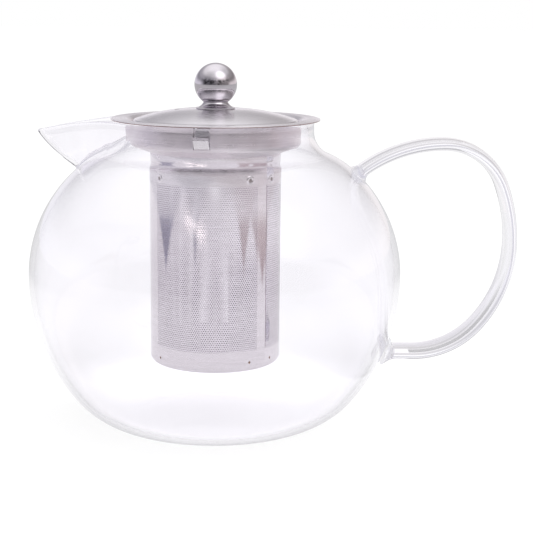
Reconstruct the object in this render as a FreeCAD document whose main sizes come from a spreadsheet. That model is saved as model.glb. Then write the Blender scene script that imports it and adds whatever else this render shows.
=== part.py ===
import FreeCAD, Part
import math
import os

import Sketcher

# A glass teapot with a steel infuser and lid. Millimetres, +Z up, base plane at z = 0.
# The origin is on the pot's axis; the handle points along +X and the beak along -X.

SIZES = [
    # Blown glass pot
    ("base_radius", 32.8),
    ("belly_radius", 80.8),
    ("belly_height", 66.5),
    ("heel_round", 38.0),
    ("crown_round", 61.0),
    ("shoulder_radius", 58.7),
    ("shoulder_round", 36.0),
    ("throat_round", 11.0),
    ("neck_radius", 42.4),
    ("glass_wall", 2.4),
    # Pulled beak
    ("beak_reach", 86.4),
    ("beak_heel", 57.0),
    ("beak_depth", 22.5),
    ("beak_nose", 3.0),
    ("beak_bore", 1.2),
    ("beak_ridge_wall", 3.2),
    ("beak_sweep", 60.0),
    ("beak_heel_sweep", 25.0),
    ("lip_start", 52.0),
    ("lip_round", 52.6),
    ("lip_cut_margin", 4.0),
    # Strap handle
    ("strap_width", 18.8),
    ("strap_thickness", 5.4),
    ("strap_edge", 2.4),
    ("grip_low", 32.4),
    ("grip_turn_start", 86.6),
    ("grip_start", 79.0),
    ("weld_width", 23.0),
    ("weld_edge", 2.6),
    ("weld_sink", 1.3),
    ("weld_waist", 0.5),
    ("weld_spread", 1.2),
    ("weld_flat", 0.3),
    ("lower_weld_height", 11.5),
    ("upper_weld_height", 14.0),
    # Infuser collar
    ("flange_top", 134.5),
    ("steel_sheet", 0.5),
    ("flange_radius", 45.0),
    ("well_radius", 36.2),
    ("well_depth", 11.0),
    ("well_round", 2.2),
    ("mouth_depth", 15.0),
    ("mouth_lip", 9.0),
    ("tongue_width", 6.3),
    ("tongue_slit", 0.35),
    ("tongue_top", 1.6),
    ("tongue_fold", 6.5),
    ("tongue_root", 9.8),
    ("tongue_foot", 0.8),
    ("tongue_bite", 0.05),
    ("tongue_reach", 39.5),
    ("tongue_tip", 5.2),
    ("tongue_tip_reach", 38.4),
    ("tongue_turn", -6.7),
    # Infuser basket and base
    ("basket_radius", 28.3),
    ("basket_sheet", 0.3),
    ("basket_depth", 104.0),
    ("lap_middle", -44.5),
    ("lap_width", 4.6),
    ("cup_depth", 106.0),
    ("cup_wall", 8.0),
    ("cup_round", 2.0),
    # Lid
    ("lid_radius", 35.7),
    ("lid_sheet", 0.6),
    ("lid_sink", 0.8),
    ("lid_rise", 4.8),
    ("lid_edge_round", 1.4),
    ("skirt_depth", 9.9),
    ("seat_radius", 9.0),
    ("vent_radius", 1.2),
    ("vent_place", 16.5),
    # Knob and its fixing
    ("ball_radius", 9.15),
    ("waist_radius", 5.3),
    ("foot_radius", 8.4),
    ("foot_height", 3.0),
    ("foot_edge", 0.7),
    ("foot_flare", 3.6),
    ("screw_radius", 1.5),
    ("screw_room", 1.7),
    ("screw_hold", 7.0),
    ("screw_tip_room", 0.6),
    ("head_radius", 2.9),
    ("head_height", 2.2),
    ("drive_slot", 0.8),
    ("washer_radius", 5.0),
    ("washer_thickness", 0.8),
]

# The strap's centreline, from the lower weld round to the upper one: radius and degrees turned.
STRAP_BENDS = [(37.2, 48.0), (55.0, 42.0), (73.0, 20.0), (27.0, 70.0), (58.4, 36.0)]

doc = FreeCAD.newDocument("teapot")
sheet = doc.addObject("Spreadsheet::Sheet", "Sizes")
for row, (alias, size) in enumerate(SIZES, start=1):
    sheet.set(f"A{row}", alias)
    sheet.set(f"B{row}", str(size))
    sheet.setAlias(f"B{row}", alias)
doc.recompute()


class Dim:
    """A size that knows its value and the expression that ties it to the sheet."""

    def __init__(self, value, text):
        self.value = value
        self.text = text

    def __add__(self, other):
        other = dim(other)
        return Dim(self.value + other.value, f"({self.text} + {other.text})")

    def __sub__(self, other):
        other = dim(other)
        return Dim(self.value - other.value, f"({self.text} - {other.text})")

    def __mul__(self, other):
        other = dim(other)
        return Dim(self.value * other.value, f"({self.text} * {other.text})")

    def __truediv__(self, other):
        other = dim(other)
        return Dim(self.value / other.value, f"({self.text} / {other.text})")

    def __neg__(self):
        return Dim(-self.value, f"(0 - {self.text})")

    def root(self):
        return Dim(math.sqrt(self.value), f"sqrt({self.text})")


def dim(thing):
    """A Dim from a sheet alias, a plain number or another Dim."""
    if isinstance(thing, Dim):
        return thing
    if isinstance(thing, str):
        return Dim(float(sheet.get(thing)), f"Sizes.{thing}")
    return Dim(float(thing), repr(float(thing)))


def number(thing):
    return thing.value if isinstance(thing, Dim) else thing


def point(x, y):
    return FreeCAD.Vector(number(x), number(y), 0)


def new_body(label):
    body = doc.addObject("PartDesign::Body", label)
    body.Label = label
    return body


def origin_feature(body, role):
    return next(f for f in body.Origin.OriginFeatures if f.Role == role)


def new_sketch(body, role, name, shift=None, lean=0.0):
    """A sketch on an origin plane, moved along its own axes and leaned about its own X axis."""
    sketch = body.newObject("Sketcher::SketchObject", name)
    sketch.AttachmentSupport = [(origin_feature(body, role), "")]
    sketch.MapMode = "FlatFace"
    x, y, z = shift or (dim(0), dim(0), dim(0))
    turn = FreeCAD.Rotation(FreeCAD.Vector(1, 0, 0), lean)
    sketch.AttachmentOffset = FreeCAD.Placement(FreeCAD.Vector(number(x), number(y), number(z)), turn)
    for axis, place in (("x", x), ("y", y), ("z", z)):
        if isinstance(place, Dim) and place.value:
            sketch.setExpression(f"AttachmentOffset.Base.{axis}", place.text)
    return sketch


def bind(sketch, kind, *where):
    """Adds a constraint whose last argument is a Dim, tied to the sheet."""
    *places, size = where
    index = sketch.addConstraint(Sketcher.Constraint(kind, *places, size.value))
    sketch.setExpression(f"Constraints[{index}]", size.text)


def pin(sketch, geometry, end, x, y):
    """Fixes the coordinates that are Dims; plain numbers are left for the sketch to solve."""
    if isinstance(x, Dim):
        if abs(x.value) < 1e-9:
            sketch.addConstraint(Sketcher.Constraint("PointOnObject", geometry, end, -2))
        else:
            bind(sketch, "DistanceX", geometry, end, x)
    if isinstance(y, Dim):
        if abs(y.value) < 1e-9:
            sketch.addConstraint(Sketcher.Constraint("PointOnObject", geometry, end, -1))
        else:
            bind(sketch, "DistanceY", geometry, end, y)


START, END, CENTRE = 1, 2, 3


class Arc:
    """An arc to the next corner: its radius, the side its centre is on, and its centre's height."""

    def __init__(self, radius, left=True, level=None):
        self.radius = radius
        self.left = left
        self.level = level

    def geometry(self, a, b):
        chord = b - a
        half = chord.Length / 2
        reach = math.sqrt(max(number(self.radius) ** 2 - half ** 2, 0.0))
        aside = FreeCAD.Vector(-chord.y, chord.x, 0).normalize()
        centre = (a + b) / 2 + aside * (reach if self.left else -reach)
        circle = Part.Circle(centre, FreeCAD.Vector(0, 0, 1), number(self.radius))
        first, last = (a, b) if self.left else (b, a)
        return Part.ArcOfCircle(circle, circle.parameter(first), circle.parameter(last))


def draw_outline(sketch, corners, closed=True):
    """Draws lines and arcs from corner to corner. A corner is (x, y, edge, smooth): edge is None for
    a straight side or an Arc, and smooth makes the outline run on without a kink there."""
    count = len(corners) if closed else len(corners) - 1
    ids = []
    for i in range(count):
        a = point(*corners[i][:2])
        b = point(*corners[(i + 1) % len(corners)][:2])
        edge = corners[i][2]
        ids.append(sketch.addGeometry(edge.geometry(a, b) if edge else Part.LineSegment(a, b)))

    def end_of(i, last):
        edge = corners[i][2]
        forward = edge is None or edge.left
        return END if last == forward else START

    for i in range(count):
        x, y, edge, smooth = corners[i]
        if closed or i > 0:
            before = (i - 1) % count
            kind = "Tangent" if smooth else "Coincident"
            sketch.addConstraint(
                Sketcher.Constraint(kind, ids[before], end_of(before, True), ids[i], end_of(i, False)))
        pin(sketch, ids[i], end_of(i, False), x, y)
        if edge and isinstance(edge.radius, Dim):
            bind(sketch, "Radius", ids[i], edge.radius)
        if edge and edge.level is not None:
            pin(sketch, ids[i], CENTRE, None, edge.level)
    if not closed:
        pin(sketch, ids[-1], end_of(count - 1, True), *corners[-1][:2])
    return ids


def straight(*corners):
    """Corners of an outline that has only straight sides."""
    return [(x, y, None, False) for x, y in corners]


def revolve(body, sketch, name, kind="PartDesign::Revolution"):
    feature = body.newObject(kind, name)
    feature.Profile = sketch
    feature.ReferenceAxis = (sketch, ["V_Axis"])
    feature.Angle = 360.0
    doc.recompute()
    return feature


def loft(body, name, sketches, kind="PartDesign::AdditiveLoft", ruled=True):
    feature = body.newObject(kind, name)
    feature.Profile = sketches[0]
    feature.Sections = sketches[1:]
    feature.Ruled = ruled
    doc.recompute()
    return feature


def ring_edges(feature, places):
    """Names of the circular edges at the given (radius, height) places."""
    names = []
    for i, edge in enumerate(feature.Shape.Edges, start=1):
        curve = edge.Curve
        if not isinstance(curve, Part.Circle):
            continue
        for radius, height in places:
            if abs(curve.Radius - number(radius)) < 1e-4 and abs(curve.Center.z - number(height)) < 1e-4:
                names.append(f"Edge{i}")
    return names


def fillet(body, name, base, edges, radius):
    feature = body.newObject("PartDesign::Fillet", name)
    feature.Base = (base, edges)
    feature.Radius = radius.value
    feature.setExpression("Radius", radius.text)
    doc.recompute()
    return feature


def cut_volume(before, after):
    """Stops the build when a cut has missed its solid."""
    if after.Shape.Volume >= before.Shape.Volume - 1e-6:
        raise RuntimeError(f"{after.Name} cuts nothing")


flange_top = dim("flange_top")
rim_top = flange_top - "steel_sheet"


# Glass pot: one blown bulb with its throat and a beak pulled out of the hot rim. It is two solids that
# meet at the belly line, because each half alone is a plain open shape.

def glass_arcs():
    """Centres and radii of the arcs that make the bulb's outer section, from heel to throat."""
    base, belly = number(dim("base_radius")), number(dim("belly_radius"))
    level = number(dim("belly_height"))
    heel, crown = number(dim("heel_round")), number(dim("crown_round"))
    bend, throat = number(dim("shoulder_round")), number(dim("throat_round"))
    wide, tall = belly - base, level - heel
    flank = (wide ** 2 + tall ** 2 - heel ** 2) / (2 * (wide - heel))
    crown_centre = point(belly - crown, level)
    tilt = math.acos((number(dim("shoulder_radius")) - crown_centre.x) / crown)
    bend_centre = crown_centre + FreeCAD.Vector(math.cos(tilt), math.sin(tilt), 0) * (crown - bend)
    throat_x = number(dim("neck_radius")) + throat
    throat_z = bend_centre.y + math.sqrt((bend + throat) ** 2 - (throat_x - bend_centre.x) ** 2)
    return {
        "heel": (point(base, heel), heel),
        "flank": (point(belly - flank, level), flank),
        "crown": (crown_centre, crown),
        "bend": (bend_centre, bend),
        "throat": (point(throat_x, throat_z), throat),
    }


def bowl_corners(offset, bottom):
    """Half section of the bulb up to its belly line, its skin moved inwards by offset."""
    belly, level, heel = dim("belly_radius"), dim("belly_height"), dim("heel_round")
    arcs = glass_arcs()
    heel_centre, flank_centre = arcs["heel"][0], arcs["flank"][0]
    inset = offset.value
    heel_end = heel_centre + (heel_centre - flank_centre).normalize() * (heel.value - inset)
    return [
        (dim(0), bottom, None, False),
        (dim("base_radius"), bottom, Arc(heel - offset), True),
        (heel_end.x, heel_end.y, Arc(arcs["flank"][1] - inset, level=level), True),
        (belly - offset, level, None, False),
        (dim(0), level, None, False),
    ]


def shoulder_corners(offset):
    """Half section of the bulb from its belly line to the rim, its skin moved inwards by offset."""
    belly, level, neck = dim("belly_radius"), dim("belly_height"), dim("neck_radius")
    crown, bend, throat = dim("crown_round"), dim("shoulder_round"), dim("throat_round")
    arcs = glass_arcs()
    crown_centre, bend_centre, throat_centre = arcs["crown"][0], arcs["bend"][0], arcs["throat"][0]
    inset = offset.value
    crown_end = crown_centre + (bend_centre - crown_centre).normalize() * (crown.value - inset)
    bend_end = throat_centre + (bend_centre - throat_centre).normalize() * (throat.value + inset)
    crown_x = belly - crown
    crown_end_x = crown_x + (crown - offset) * (dim("shoulder_radius") - crown_x) / crown
    return [
        (dim(0), level, None, False),
        (belly - offset, level, Arc(crown - offset, level=level), False),
        (crown_end_x, crown_end.y, Arc(bend - offset), True),
        (bend_end.x, bend_end.y, Arc(throat + offset, left=False), True),
        (neck - offset, throat_centre.y, None, True),
        (neck - offset, rim_top, None, False),
        (dim(0), rim_top, None, False),
    ]


def beak_section(sketch, neck, tip_centre, nose, sweep):
    """Plan of the neck with its beak: neck arc, two hollow flanks and a round nose."""
    inner, outer = number(neck + sweep), number(nose + sweep)
    t = number(tip_centre)
    flank_x = (outer ** 2 - inner ** 2 - t ** 2) / (2 * t)
    flank_y = math.sqrt(inner ** 2 - flank_x ** 2)
    flank_centre = point(flank_x, flank_y)
    on_neck = flank_centre * (number(neck) / inner)
    tip = point(-t, 0)
    on_nose = tip + (flank_centre - tip) * (number(nose) / outer)
    off_nose, off_neck = point(on_nose.x, -on_nose.y), point(on_neck.x, -on_neck.y)
    ring = Part.Circle(FreeCAD.Vector(0, 0, 0), FreeCAD.Vector(0, 0, 1), number(neck))
    hollow = Arc(sweep, left=False)
    neck_arc, flank, nose_arc, other_flank = [sketch.addGeometry(arc) for arc in (
        Part.ArcOfCircle(ring, ring.parameter(off_neck) - 2 * math.pi, ring.parameter(on_neck)),
        hollow.geometry(on_neck, on_nose),
        Arc(nose).geometry(on_nose, off_nose),
        hollow.geometry(off_nose, off_neck),
    )]
    joints = [(neck_arc, END, flank, END), (flank, START, nose_arc, START),
              (nose_arc, END, other_flank, END), (other_flank, START, neck_arc, START)]
    for a, a_end, b, b_end in joints:
        sketch.addConstraint(Sketcher.Constraint("Tangent", a, a_end, b, b_end))
    pin(sketch, neck_arc, CENTRE, dim(0), dim(0))
    pin(sketch, nose_arc, CENTRE, -tip_centre, dim(0))
    for arc, radius in ((neck_arc, neck), (flank, sweep), (nose_arc, nose), (other_flank, sweep)):
        bind(sketch, "Radius", arc, radius)


def beak(body, name, kind, neck, back_off, nose):
    """A loft between the plan of the beak at the rim and the one at its foot on the shoulder."""
    stations = [
        ("top", rim_top, dim("beak_reach"), dim("beak_sweep")),
        ("foot", rim_top - "beak_depth", dim("beak_heel"), dim("beak_heel_sweep")),
    ]
    sketches = []
    for end, z, reach, sweep in stations:
        sketch = new_sketch(body, "XY_Plane", f"{name}_{end}", (dim(0), dim(0), z))
        beak_section(sketch, neck, reach - back_off - nose, nose, sweep)
        sketches.append(sketch)
    doc.recompute()
    return loft(body, name, sketches, kind)


def make_glass_bowl():
    body = new_body("glass_bowl")
    wall = dim("glass_wall")
    outside = new_sketch(body, "XZ_Plane", "bowl_section")
    draw_outline(outside, bowl_corners(dim(0), dim(0)))
    blown = revolve(body, outside, "bowl")
    inside = new_sketch(body, "XZ_Plane", "bowl_cavity_section")
    draw_outline(inside, bowl_corners(wall, wall))
    cavity = revolve(body, inside, "bowl_cavity", "PartDesign::Groove")
    cut_volume(blown, cavity)
    return body


def make_glass_shoulder():
    body = new_body("glass_shoulder")
    wall = dim("glass_wall")
    neck = dim("neck_radius")

    outside = new_sketch(body, "XZ_Plane", "shoulder_section")
    draw_outline(outside, shoulder_corners(dim(0)))
    revolve(body, outside, "shoulder")
    pulled = beak(body, "beak_skin", "PartDesign::AdditiveLoft", neck, dim(0), dim("beak_nose"))

    inside = new_sketch(body, "XZ_Plane", "shoulder_cavity_section")
    draw_outline(inside, shoulder_corners(wall))
    cavity = revolve(body, inside, "shoulder_cavity", "PartDesign::Groove")
    cut_volume(pulled, cavity)
    channel = beak(body, "beak_channel", "PartDesign::SubtractiveLoft",
                   neck - wall, dim("beak_ridge_wall"), dim("beak_bore"))
    cut_volume(cavity, channel)

    lip = new_sketch(body, "XZ_Plane", "lip_droop")
    start, bend = dim("lip_start"), dim("lip_round")
    past = dim("beak_reach") + "lip_cut_margin"
    above = rim_top + "lip_cut_margin"
    fall = bend - (bend * bend - (past - start) * (past - start)).root()
    draw_outline(lip, [
        (-start, rim_top, Arc(bend), False),
        (-past, rim_top - fall, None, False),
        (-past, above, None, False),
        (-start, above, None, False),
    ])
    droop = body.newObject("PartDesign::Pocket", "lip")
    droop.Profile = lip
    droop.SideType = "Symmetric"
    droop.Type = "ThroughAll"
    doc.recompute()
    cut_volume(channel, droop)
    return body


# Glass handle: a flat strap bent hot, its two ends flared and fused to the bulb

def strap_path():
    """Corner points of the centreline and the heading, in degrees, at each of them."""
    x, z, heading = number(dim("grip_turn_start")), number(dim("grip_low")), 0.0
    places = [(x, z, heading)]
    for radius, turn in STRAP_BENDS:
        a, b = math.radians(heading), math.radians(heading + turn)
        x += radius * (math.sin(b) - math.sin(a))
        z += radius * (math.cos(a) - math.cos(b))
        heading += turn
        places.append((x, z, heading))
    return places


def rounded_plate(sketch, width, height, edge):
    """A rectangle with round corners, centred on the sketch's origin."""
    w, t = width / 2, height / 2
    draw_outline(sketch, [
        (w - edge, -t, Arc(edge), False), (w, -t + edge, None, False),
        (w, t - edge, Arc(edge), False), (w - edge, t, None, False),
        (-w + edge, t, Arc(edge), False), (-w, t - edge, None, False),
        (-w, -t + edge, Arc(edge), False), (-w + edge, -t, None, False),
    ])


def across(body, name, x, z, heading, width, height, edge):
    """A cross-section of the strap, square to its heading at a point of its centreline."""
    sketch = new_sketch(body, "YZ_Plane", name, (dim(0), dim(z), dim(x)), -heading)
    rounded_plate(sketch, dim(width), dim(height), dim(edge))
    return sketch


def weld_foot(arc, x, z, heading):
    """Where the strap, carried on backwards from a point, has sunk into the bulb's wall."""
    centre, radius = glass_arcs()[arc]
    sunk = radius - number(dim("weld_sink"))
    back = FreeCAD.Vector(-math.cos(math.radians(heading)), -math.sin(math.radians(heading)), 0)
    start = point(x, z) - centre
    along = -start.dot(back) - math.sqrt(start.dot(back) ** 2 - start.dot(start) + sunk ** 2)
    foot = start + back * along
    return centre + foot, math.degrees(math.atan2(foot.y, foot.x))


def weld(body, name, arc, section, x, z, heading, height):
    """The flared end of the strap: it spreads by way of a waist from the strap's section to an oval
    foot in the wall."""
    foot, lean = weld_foot(arc, x, z, heading)
    edge = height / 2 - "weld_flat"
    end = across(body, f"{name}_foot", foot.x, foot.y, lean, "weld_width", height, edge)
    share = number(dim("weld_waist"))
    waist = point(x, z) + (foot - point(x, z)) * share
    wide, thick = dim("strap_width") + "weld_spread", dim("strap_thickness") + "weld_spread"
    middle = across(body, f"{name}_waist", waist.x, waist.y, heading + (lean - heading) * share,
                    wide, thick, "weld_edge")
    doc.recompute()
    return loft(body, name, [section, middle, end], ruled=False)


def make_glass_handle():
    body = new_body("glass_handle")
    places = strap_path()
    spine = new_sketch(body, "XZ_Plane", "strap_path")
    low, first_turn = dim("grip_start"), dim("grip_turn_start")
    corners = [(low, dim("grip_low"), None, False)]
    for (x, z, heading), (radius, turn) in zip(places, STRAP_BENDS):
        pinned = (first_turn, dim("grip_low")) if heading == 0 else (x, z)
        corners.append((*pinned, Arc(dim(radius)), True))
    end_x, end_z, end_heading = places[-1]
    corners.append((dim(end_x), dim(end_z), None, False))
    draw_outline(spine, corners, closed=False)
    strap_size = ("strap_width", "strap_thickness", "strap_edge")
    lower = across(body, "lower_section", low, "grip_low", 0, *strap_size)
    upper = across(body, "upper_section", end_x, end_z, end_heading - 180, *strap_size)
    doc.recompute()
    strap = body.newObject("PartDesign::AdditivePipe", "strap")
    strap.Profile = lower
    strap.Spine = (spine, [f"Edge{i + 1}" for i in range(len(corners) - 1)])
    doc.recompute()
    low_x, low_z = number(low), number(dim("grip_low"))
    weld(body, "lower_weld", "flank", lower, low_x, low_z, 0.0, dim("lower_weld_height"))
    weld(body, "upper_weld", "crown", upper, end_x, end_z, end_heading - 180, dim("upper_weld_height"))
    return body


# Infuser collar: a pressed steel cup with a flange and three spring tongues lanced out of its wall

def make_infuser_collar():
    body = new_body("infuser_collar")
    gauge = dim("steel_sheet")
    well = dim("well_radius")
    wall = well + gauge
    mouth = dim("basket_radius") - "basket_sheet"
    bore = mouth - gauge
    floor = flange_top - "well_depth"
    shelf = flange_top - "mouth_depth"
    lip = shelf - "mouth_lip"
    section = new_sketch(body, "XZ_Plane", "collar_section")
    draw_outline(section, straight(
        (dim("flange_radius"), flange_top - gauge), (dim("flange_radius"), flange_top),
        (well, flange_top), (well, floor), (bore, shelf), (bore, lip),
        (mouth, lip), (mouth, shelf - gauge), (wall, floor - gauge), (wall, flange_top - gauge),
    ))
    shell = revolve(body, section, "shell")
    bends = [(well, floor), (wall, floor - gauge)]
    rounded = fillet(body, "well_corner", shell, ring_edges(shell, bends), dim("well_round"))

    window = new_sketch(body, "XZ_Plane", "tongue_window")
    half = dim("tongue_width") / 2 + "tongue_slit"
    rise = half / 2
    arch = flange_top - "tongue_top" - rise
    sill = flange_top - "tongue_root"
    draw_outline(window, [
        (-half, sill, None, False), (half, sill, None, False),
        (half, arch, Arc((half * half + rise * rise) / (rise * 2)), False), (-half, arch, None, False),
    ])
    opening = body.newObject("PartDesign::Pocket", "window")
    opening.Profile = window
    opening.Type = "ThroughAll"
    opening.Reversed = True
    doc.recompute()
    cut_volume(rounded, opening)

    spring = new_sketch(body, "YZ_Plane", "tongue_section")
    root = sill - "tongue_foot"
    fold = flange_top - "tongue_fold"
    tip = flange_top - "tongue_tip"
    inside = well + "tongue_bite"
    reach, tip_reach = dim("tongue_reach"), dim("tongue_tip_reach")
    draw_outline(spring, straight(
        (-inside, root), (-wall, root), (-reach, fold), (-tip_reach, tip),
        (gauge - tip_reach, tip), (gauge - reach, fold), (-inside, sill),
    ))
    tongue = body.newObject("PartDesign::Pad", "tongue")
    tongue.Profile = spring
    tongue.SideType = "Symmetric"
    tongue.setExpression("Length", "Sizes.tongue_width")
    doc.recompute()

    trio = body.newObject("PartDesign::PolarPattern", "tongues")
    trio.Originals = [opening, tongue]
    trio.Axis = (origin_feature(body, "Z_Axis"), [""])
    trio.Angle = 360.0
    trio.Occurrences = 3
    body.Tip = trio
    doc.recompute()
    body.Placement = FreeCAD.Placement(
        FreeCAD.Vector(0, 0, 0), FreeCAD.Rotation(FreeCAD.Vector(0, 0, 1), number(dim("tongue_turn"))))
    return body


# Infuser basket: a rolled sheet of etched steel whose two edges overlap in one seam

def make_infuser_basket():
    body = new_body("infuser_basket")
    gauge = dim("basket_sheet")
    outside = dim("basket_radius")
    top = flange_top - "mouth_depth" - "steel_sheet"
    foot = flange_top - "basket_depth"
    section = new_sketch(body, "XZ_Plane", "roll_section")
    draw_outline(section, straight(
        (outside - gauge, foot), (outside, foot), (outside, top), (outside - gauge, top)))
    revolve(body, section, "roll")

    lap = new_sketch(body, "XY_Plane", "lap_plan", (dim(0), dim(0), foot))
    half = dim("lap_width") / 2
    inner = outside - gauge / 2
    outer = outside + gauge
    inner_x = (inner * inner - half * half).root()
    outer_x = (outer * outer - half * half).root()
    draw_outline(lap, [
        (inner_x, -half, None, False), (outer_x, -half, Arc(outer), False),
        (outer_x, half, None, False), (inner_x, half, Arc(inner, left=False), False),
    ])
    seam = body.newObject("PartDesign::Pad", "lap_seam")
    seam.Profile = lap
    seam.Length = number(top - foot)
    seam.setExpression("Length", (top - foot).text)
    doc.recompute()
    body.Placement = FreeCAD.Placement(
        FreeCAD.Vector(0, 0, 0), FreeCAD.Rotation(FreeCAD.Vector(0, 0, 1), number(dim("lap_middle"))))
    return body


# Infuser base: a shallow pressed cup, spot-welded inside the basket's lower end

def make_infuser_base():
    body = new_body("infuser_base")
    gauge = dim("basket_sheet")
    outside = dim("basket_radius") - gauge
    foot = flange_top - "cup_depth"
    top = foot + "cup_wall"
    section = new_sketch(body, "XZ_Plane", "cup_section")
    draw_outline(section, straight(
        (dim(0), foot), (outside, foot), (outside, top),
        (outside - gauge, top), (outside - gauge, foot + gauge), (dim(0), foot + gauge)))
    cup = revolve(body, section, "cup")
    fillet(body, "cup_corner", cup,
           ring_edges(cup, [(outside, foot), (outside - gauge, foot + gauge)]), dim("cup_round"))
    return body


# Lid: a pressed dome with a flat seat for the knob, a steam vent and a skirt that stands in the well

lid_rim = flange_top - "lid_sink"
lid_seat = lid_rim + "lid_rise"


def make_lid_cover():
    body = new_body("lid_cover")
    gauge = dim("lid_sheet")
    wide = dim("lid_radius")
    seat = dim("seat_radius")
    foot = lid_rim - "skirt_depth"
    span = wide - seat
    rise = dim("lid_rise")
    dome = (span * span + rise * rise) / (rise * 2)
    section = new_sketch(body, "XZ_Plane", "lid_section")
    draw_outline(section, [
        (dim("screw_room"), lid_seat - gauge, None, False),
        (seat, lid_seat - gauge, Arc(dome - gauge, left=False), False),
        (wide - gauge, lid_rim - gauge, None, False),
        (wide - gauge, foot, None, False),
        (wide, foot, None, False),
        (wide, lid_rim, Arc(dome), False),
        (seat, lid_seat, None, False),
        (dim("screw_room"), lid_seat, None, False),
    ])
    press = revolve(body, section, "dome")
    edge = fillet(body, "dome_edge", press, ring_edges(press, [(wide, lid_rim)]), dim("lid_edge_round"))

    hole = new_sketch(body, "XY_Plane", "vent_plan", (dim(0), dim(0), foot))
    place, bore = -dim("vent_place"), dim("vent_radius")
    ring = hole.addGeometry(Part.Circle(point(place, 0), FreeCAD.Vector(0, 0, 1), number(bore)))
    bind(hole, "Radius", ring, bore)
    pin(hole, ring, CENTRE, place, dim(0))
    vent = body.newObject("PartDesign::Pocket", "vent")
    vent.Profile = hole
    vent.Type = "ThroughAll"
    vent.Reversed = True
    doc.recompute()
    cut_volume(edge, vent)
    return body


# Knob: a polished ball on a flared foot, drawn down on the lid by one screw from below

foot_top = lid_seat + "foot_height"


def make_knob_foot():
    body = new_body("knob_foot")
    room, waist, wide = dim("screw_room"), dim("waist_radius"), dim("foot_radius")
    section = new_sketch(body, "XZ_Plane", "foot_section")
    draw_outline(section, [
        (room, lid_seat, None, False), (wide, lid_seat, None, False),
        (wide, lid_seat + "foot_edge", Arc(dim("foot_flare"), left=False), False),
        (waist, foot_top, None, False), (room, foot_top, None, False),
    ])
    revolve(body, section, "flare")
    return body


def make_knob_ball():
    body = new_body("knob_ball")
    ball, waist, bore = dim("ball_radius"), dim("waist_radius"), dim("screw_radius")
    middle = foot_top + (ball * ball - waist * waist).root()
    depth = foot_top + "screw_hold"
    section = new_sketch(body, "XZ_Plane", "ball_section")
    draw_outline(section, [
        (bore, foot_top, None, False), (waist, foot_top, Arc(ball), False),
        (ball, middle, Arc(ball), False), (dim(0), middle + ball, None, False),
        (dim(0), depth, None, False), (bore, depth, None, False),
    ])
    revolve(body, section, "ball")
    return body


washer_foot = lid_seat - "lid_sheet" - "washer_thickness"


def make_knob_washer():
    body = new_body("knob_washer")
    section = new_sketch(body, "XZ_Plane", "washer_section")
    room, wide = dim("screw_room"), dim("washer_radius")
    top = washer_foot + "washer_thickness"
    draw_outline(section, straight((room, washer_foot), (wide, washer_foot), (wide, top), (room, top)))
    revolve(body, section, "ring")
    return body


def make_knob_screw():
    body = new_body("knob_screw")
    shank, head = dim("screw_radius"), dim("head_radius")
    under = washer_foot - "head_height"
    tip = foot_top + "screw_hold" - "screw_tip_room"
    section = new_sketch(body, "XZ_Plane", "screw_section")
    draw_outline(section, straight(
        (dim(0), under), (head, under), (head, washer_foot),
        (shank, washer_foot), (shank, tip), (dim(0), tip)))
    turned = revolve(body, section, "blank")
    rounded = fillet(body, "head_edge", turned, ring_edges(turned, [(head, under)]), dim("head_height") / 2)
    slot = new_sketch(body, "XY_Plane", "slot_plan", (dim(0), dim(0), under))
    half = dim("drive_slot") / 2
    draw_outline(slot, straight((-head, -half), (head, -half), (head, half), (-head, half)))
    drive = body.newObject("PartDesign::Pocket", "drive")
    drive.Profile = slot
    drive.Reversed = True
    drive.setExpression("Length", "Sizes.head_height / 2")
    doc.recompute()
    cut_volume(rounded, drive)
    return body


def check(bodies):
    """Nothing is written unless every object of the document came out sound."""
    for thing in doc.Objects:
        if any(state in ("Invalid", "Error") for state in thing.State):
            raise RuntimeError(f"{thing.Name}: {thing.State}")
    for body in bodies:
        if body.Shape.isNull() or not body.Shape.isValid() or len(body.Shape.Solids) != 1:
            raise RuntimeError(f"{body.Label}: bad shape with {len(body.Shape.Solids)} solids")


parts = [
    make_glass_bowl(),
    make_glass_shoulder(),
    make_glass_handle(),
    make_infuser_collar(),
    make_infuser_basket(),
    make_infuser_base(),
    make_lid_cover(),
    make_knob_foot(),
    make_knob_ball(),
    make_knob_washer(),
    make_knob_screw(),
]
doc.recompute()
check(parts)
os.makedirs("parts", exist_ok=True)
for part in parts:
    part.Shape.exportStep(f"parts/{part.Label}.step")
    box = part.Shape.BoundBox
    reach = [round(place, 1) for place in (box.XMin, box.XMax, box.ZMin, box.ZMax)]
    print(part.Label, round(part.Shape.Volume, 1), reach)
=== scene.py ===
import math

import bmesh
import bpy
from mathutils import Matrix, Vector


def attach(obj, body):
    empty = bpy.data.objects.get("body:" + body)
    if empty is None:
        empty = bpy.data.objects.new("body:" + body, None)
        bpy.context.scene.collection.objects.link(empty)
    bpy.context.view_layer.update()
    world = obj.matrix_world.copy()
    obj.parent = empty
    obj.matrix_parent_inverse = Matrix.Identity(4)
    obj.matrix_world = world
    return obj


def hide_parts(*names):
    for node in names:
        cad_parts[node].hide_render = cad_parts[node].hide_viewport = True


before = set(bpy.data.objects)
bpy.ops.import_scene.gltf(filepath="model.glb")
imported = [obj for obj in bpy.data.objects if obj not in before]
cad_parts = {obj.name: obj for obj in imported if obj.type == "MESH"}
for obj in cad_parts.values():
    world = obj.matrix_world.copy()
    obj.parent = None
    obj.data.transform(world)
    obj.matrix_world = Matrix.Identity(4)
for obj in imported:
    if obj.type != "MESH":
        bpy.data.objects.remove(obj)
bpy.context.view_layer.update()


# Table and room: a white table top under a large soft light, with a greyer room behind the camera
# that the steel mirrors. The camera, and what it sees through the glass, meets plain white.

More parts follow.
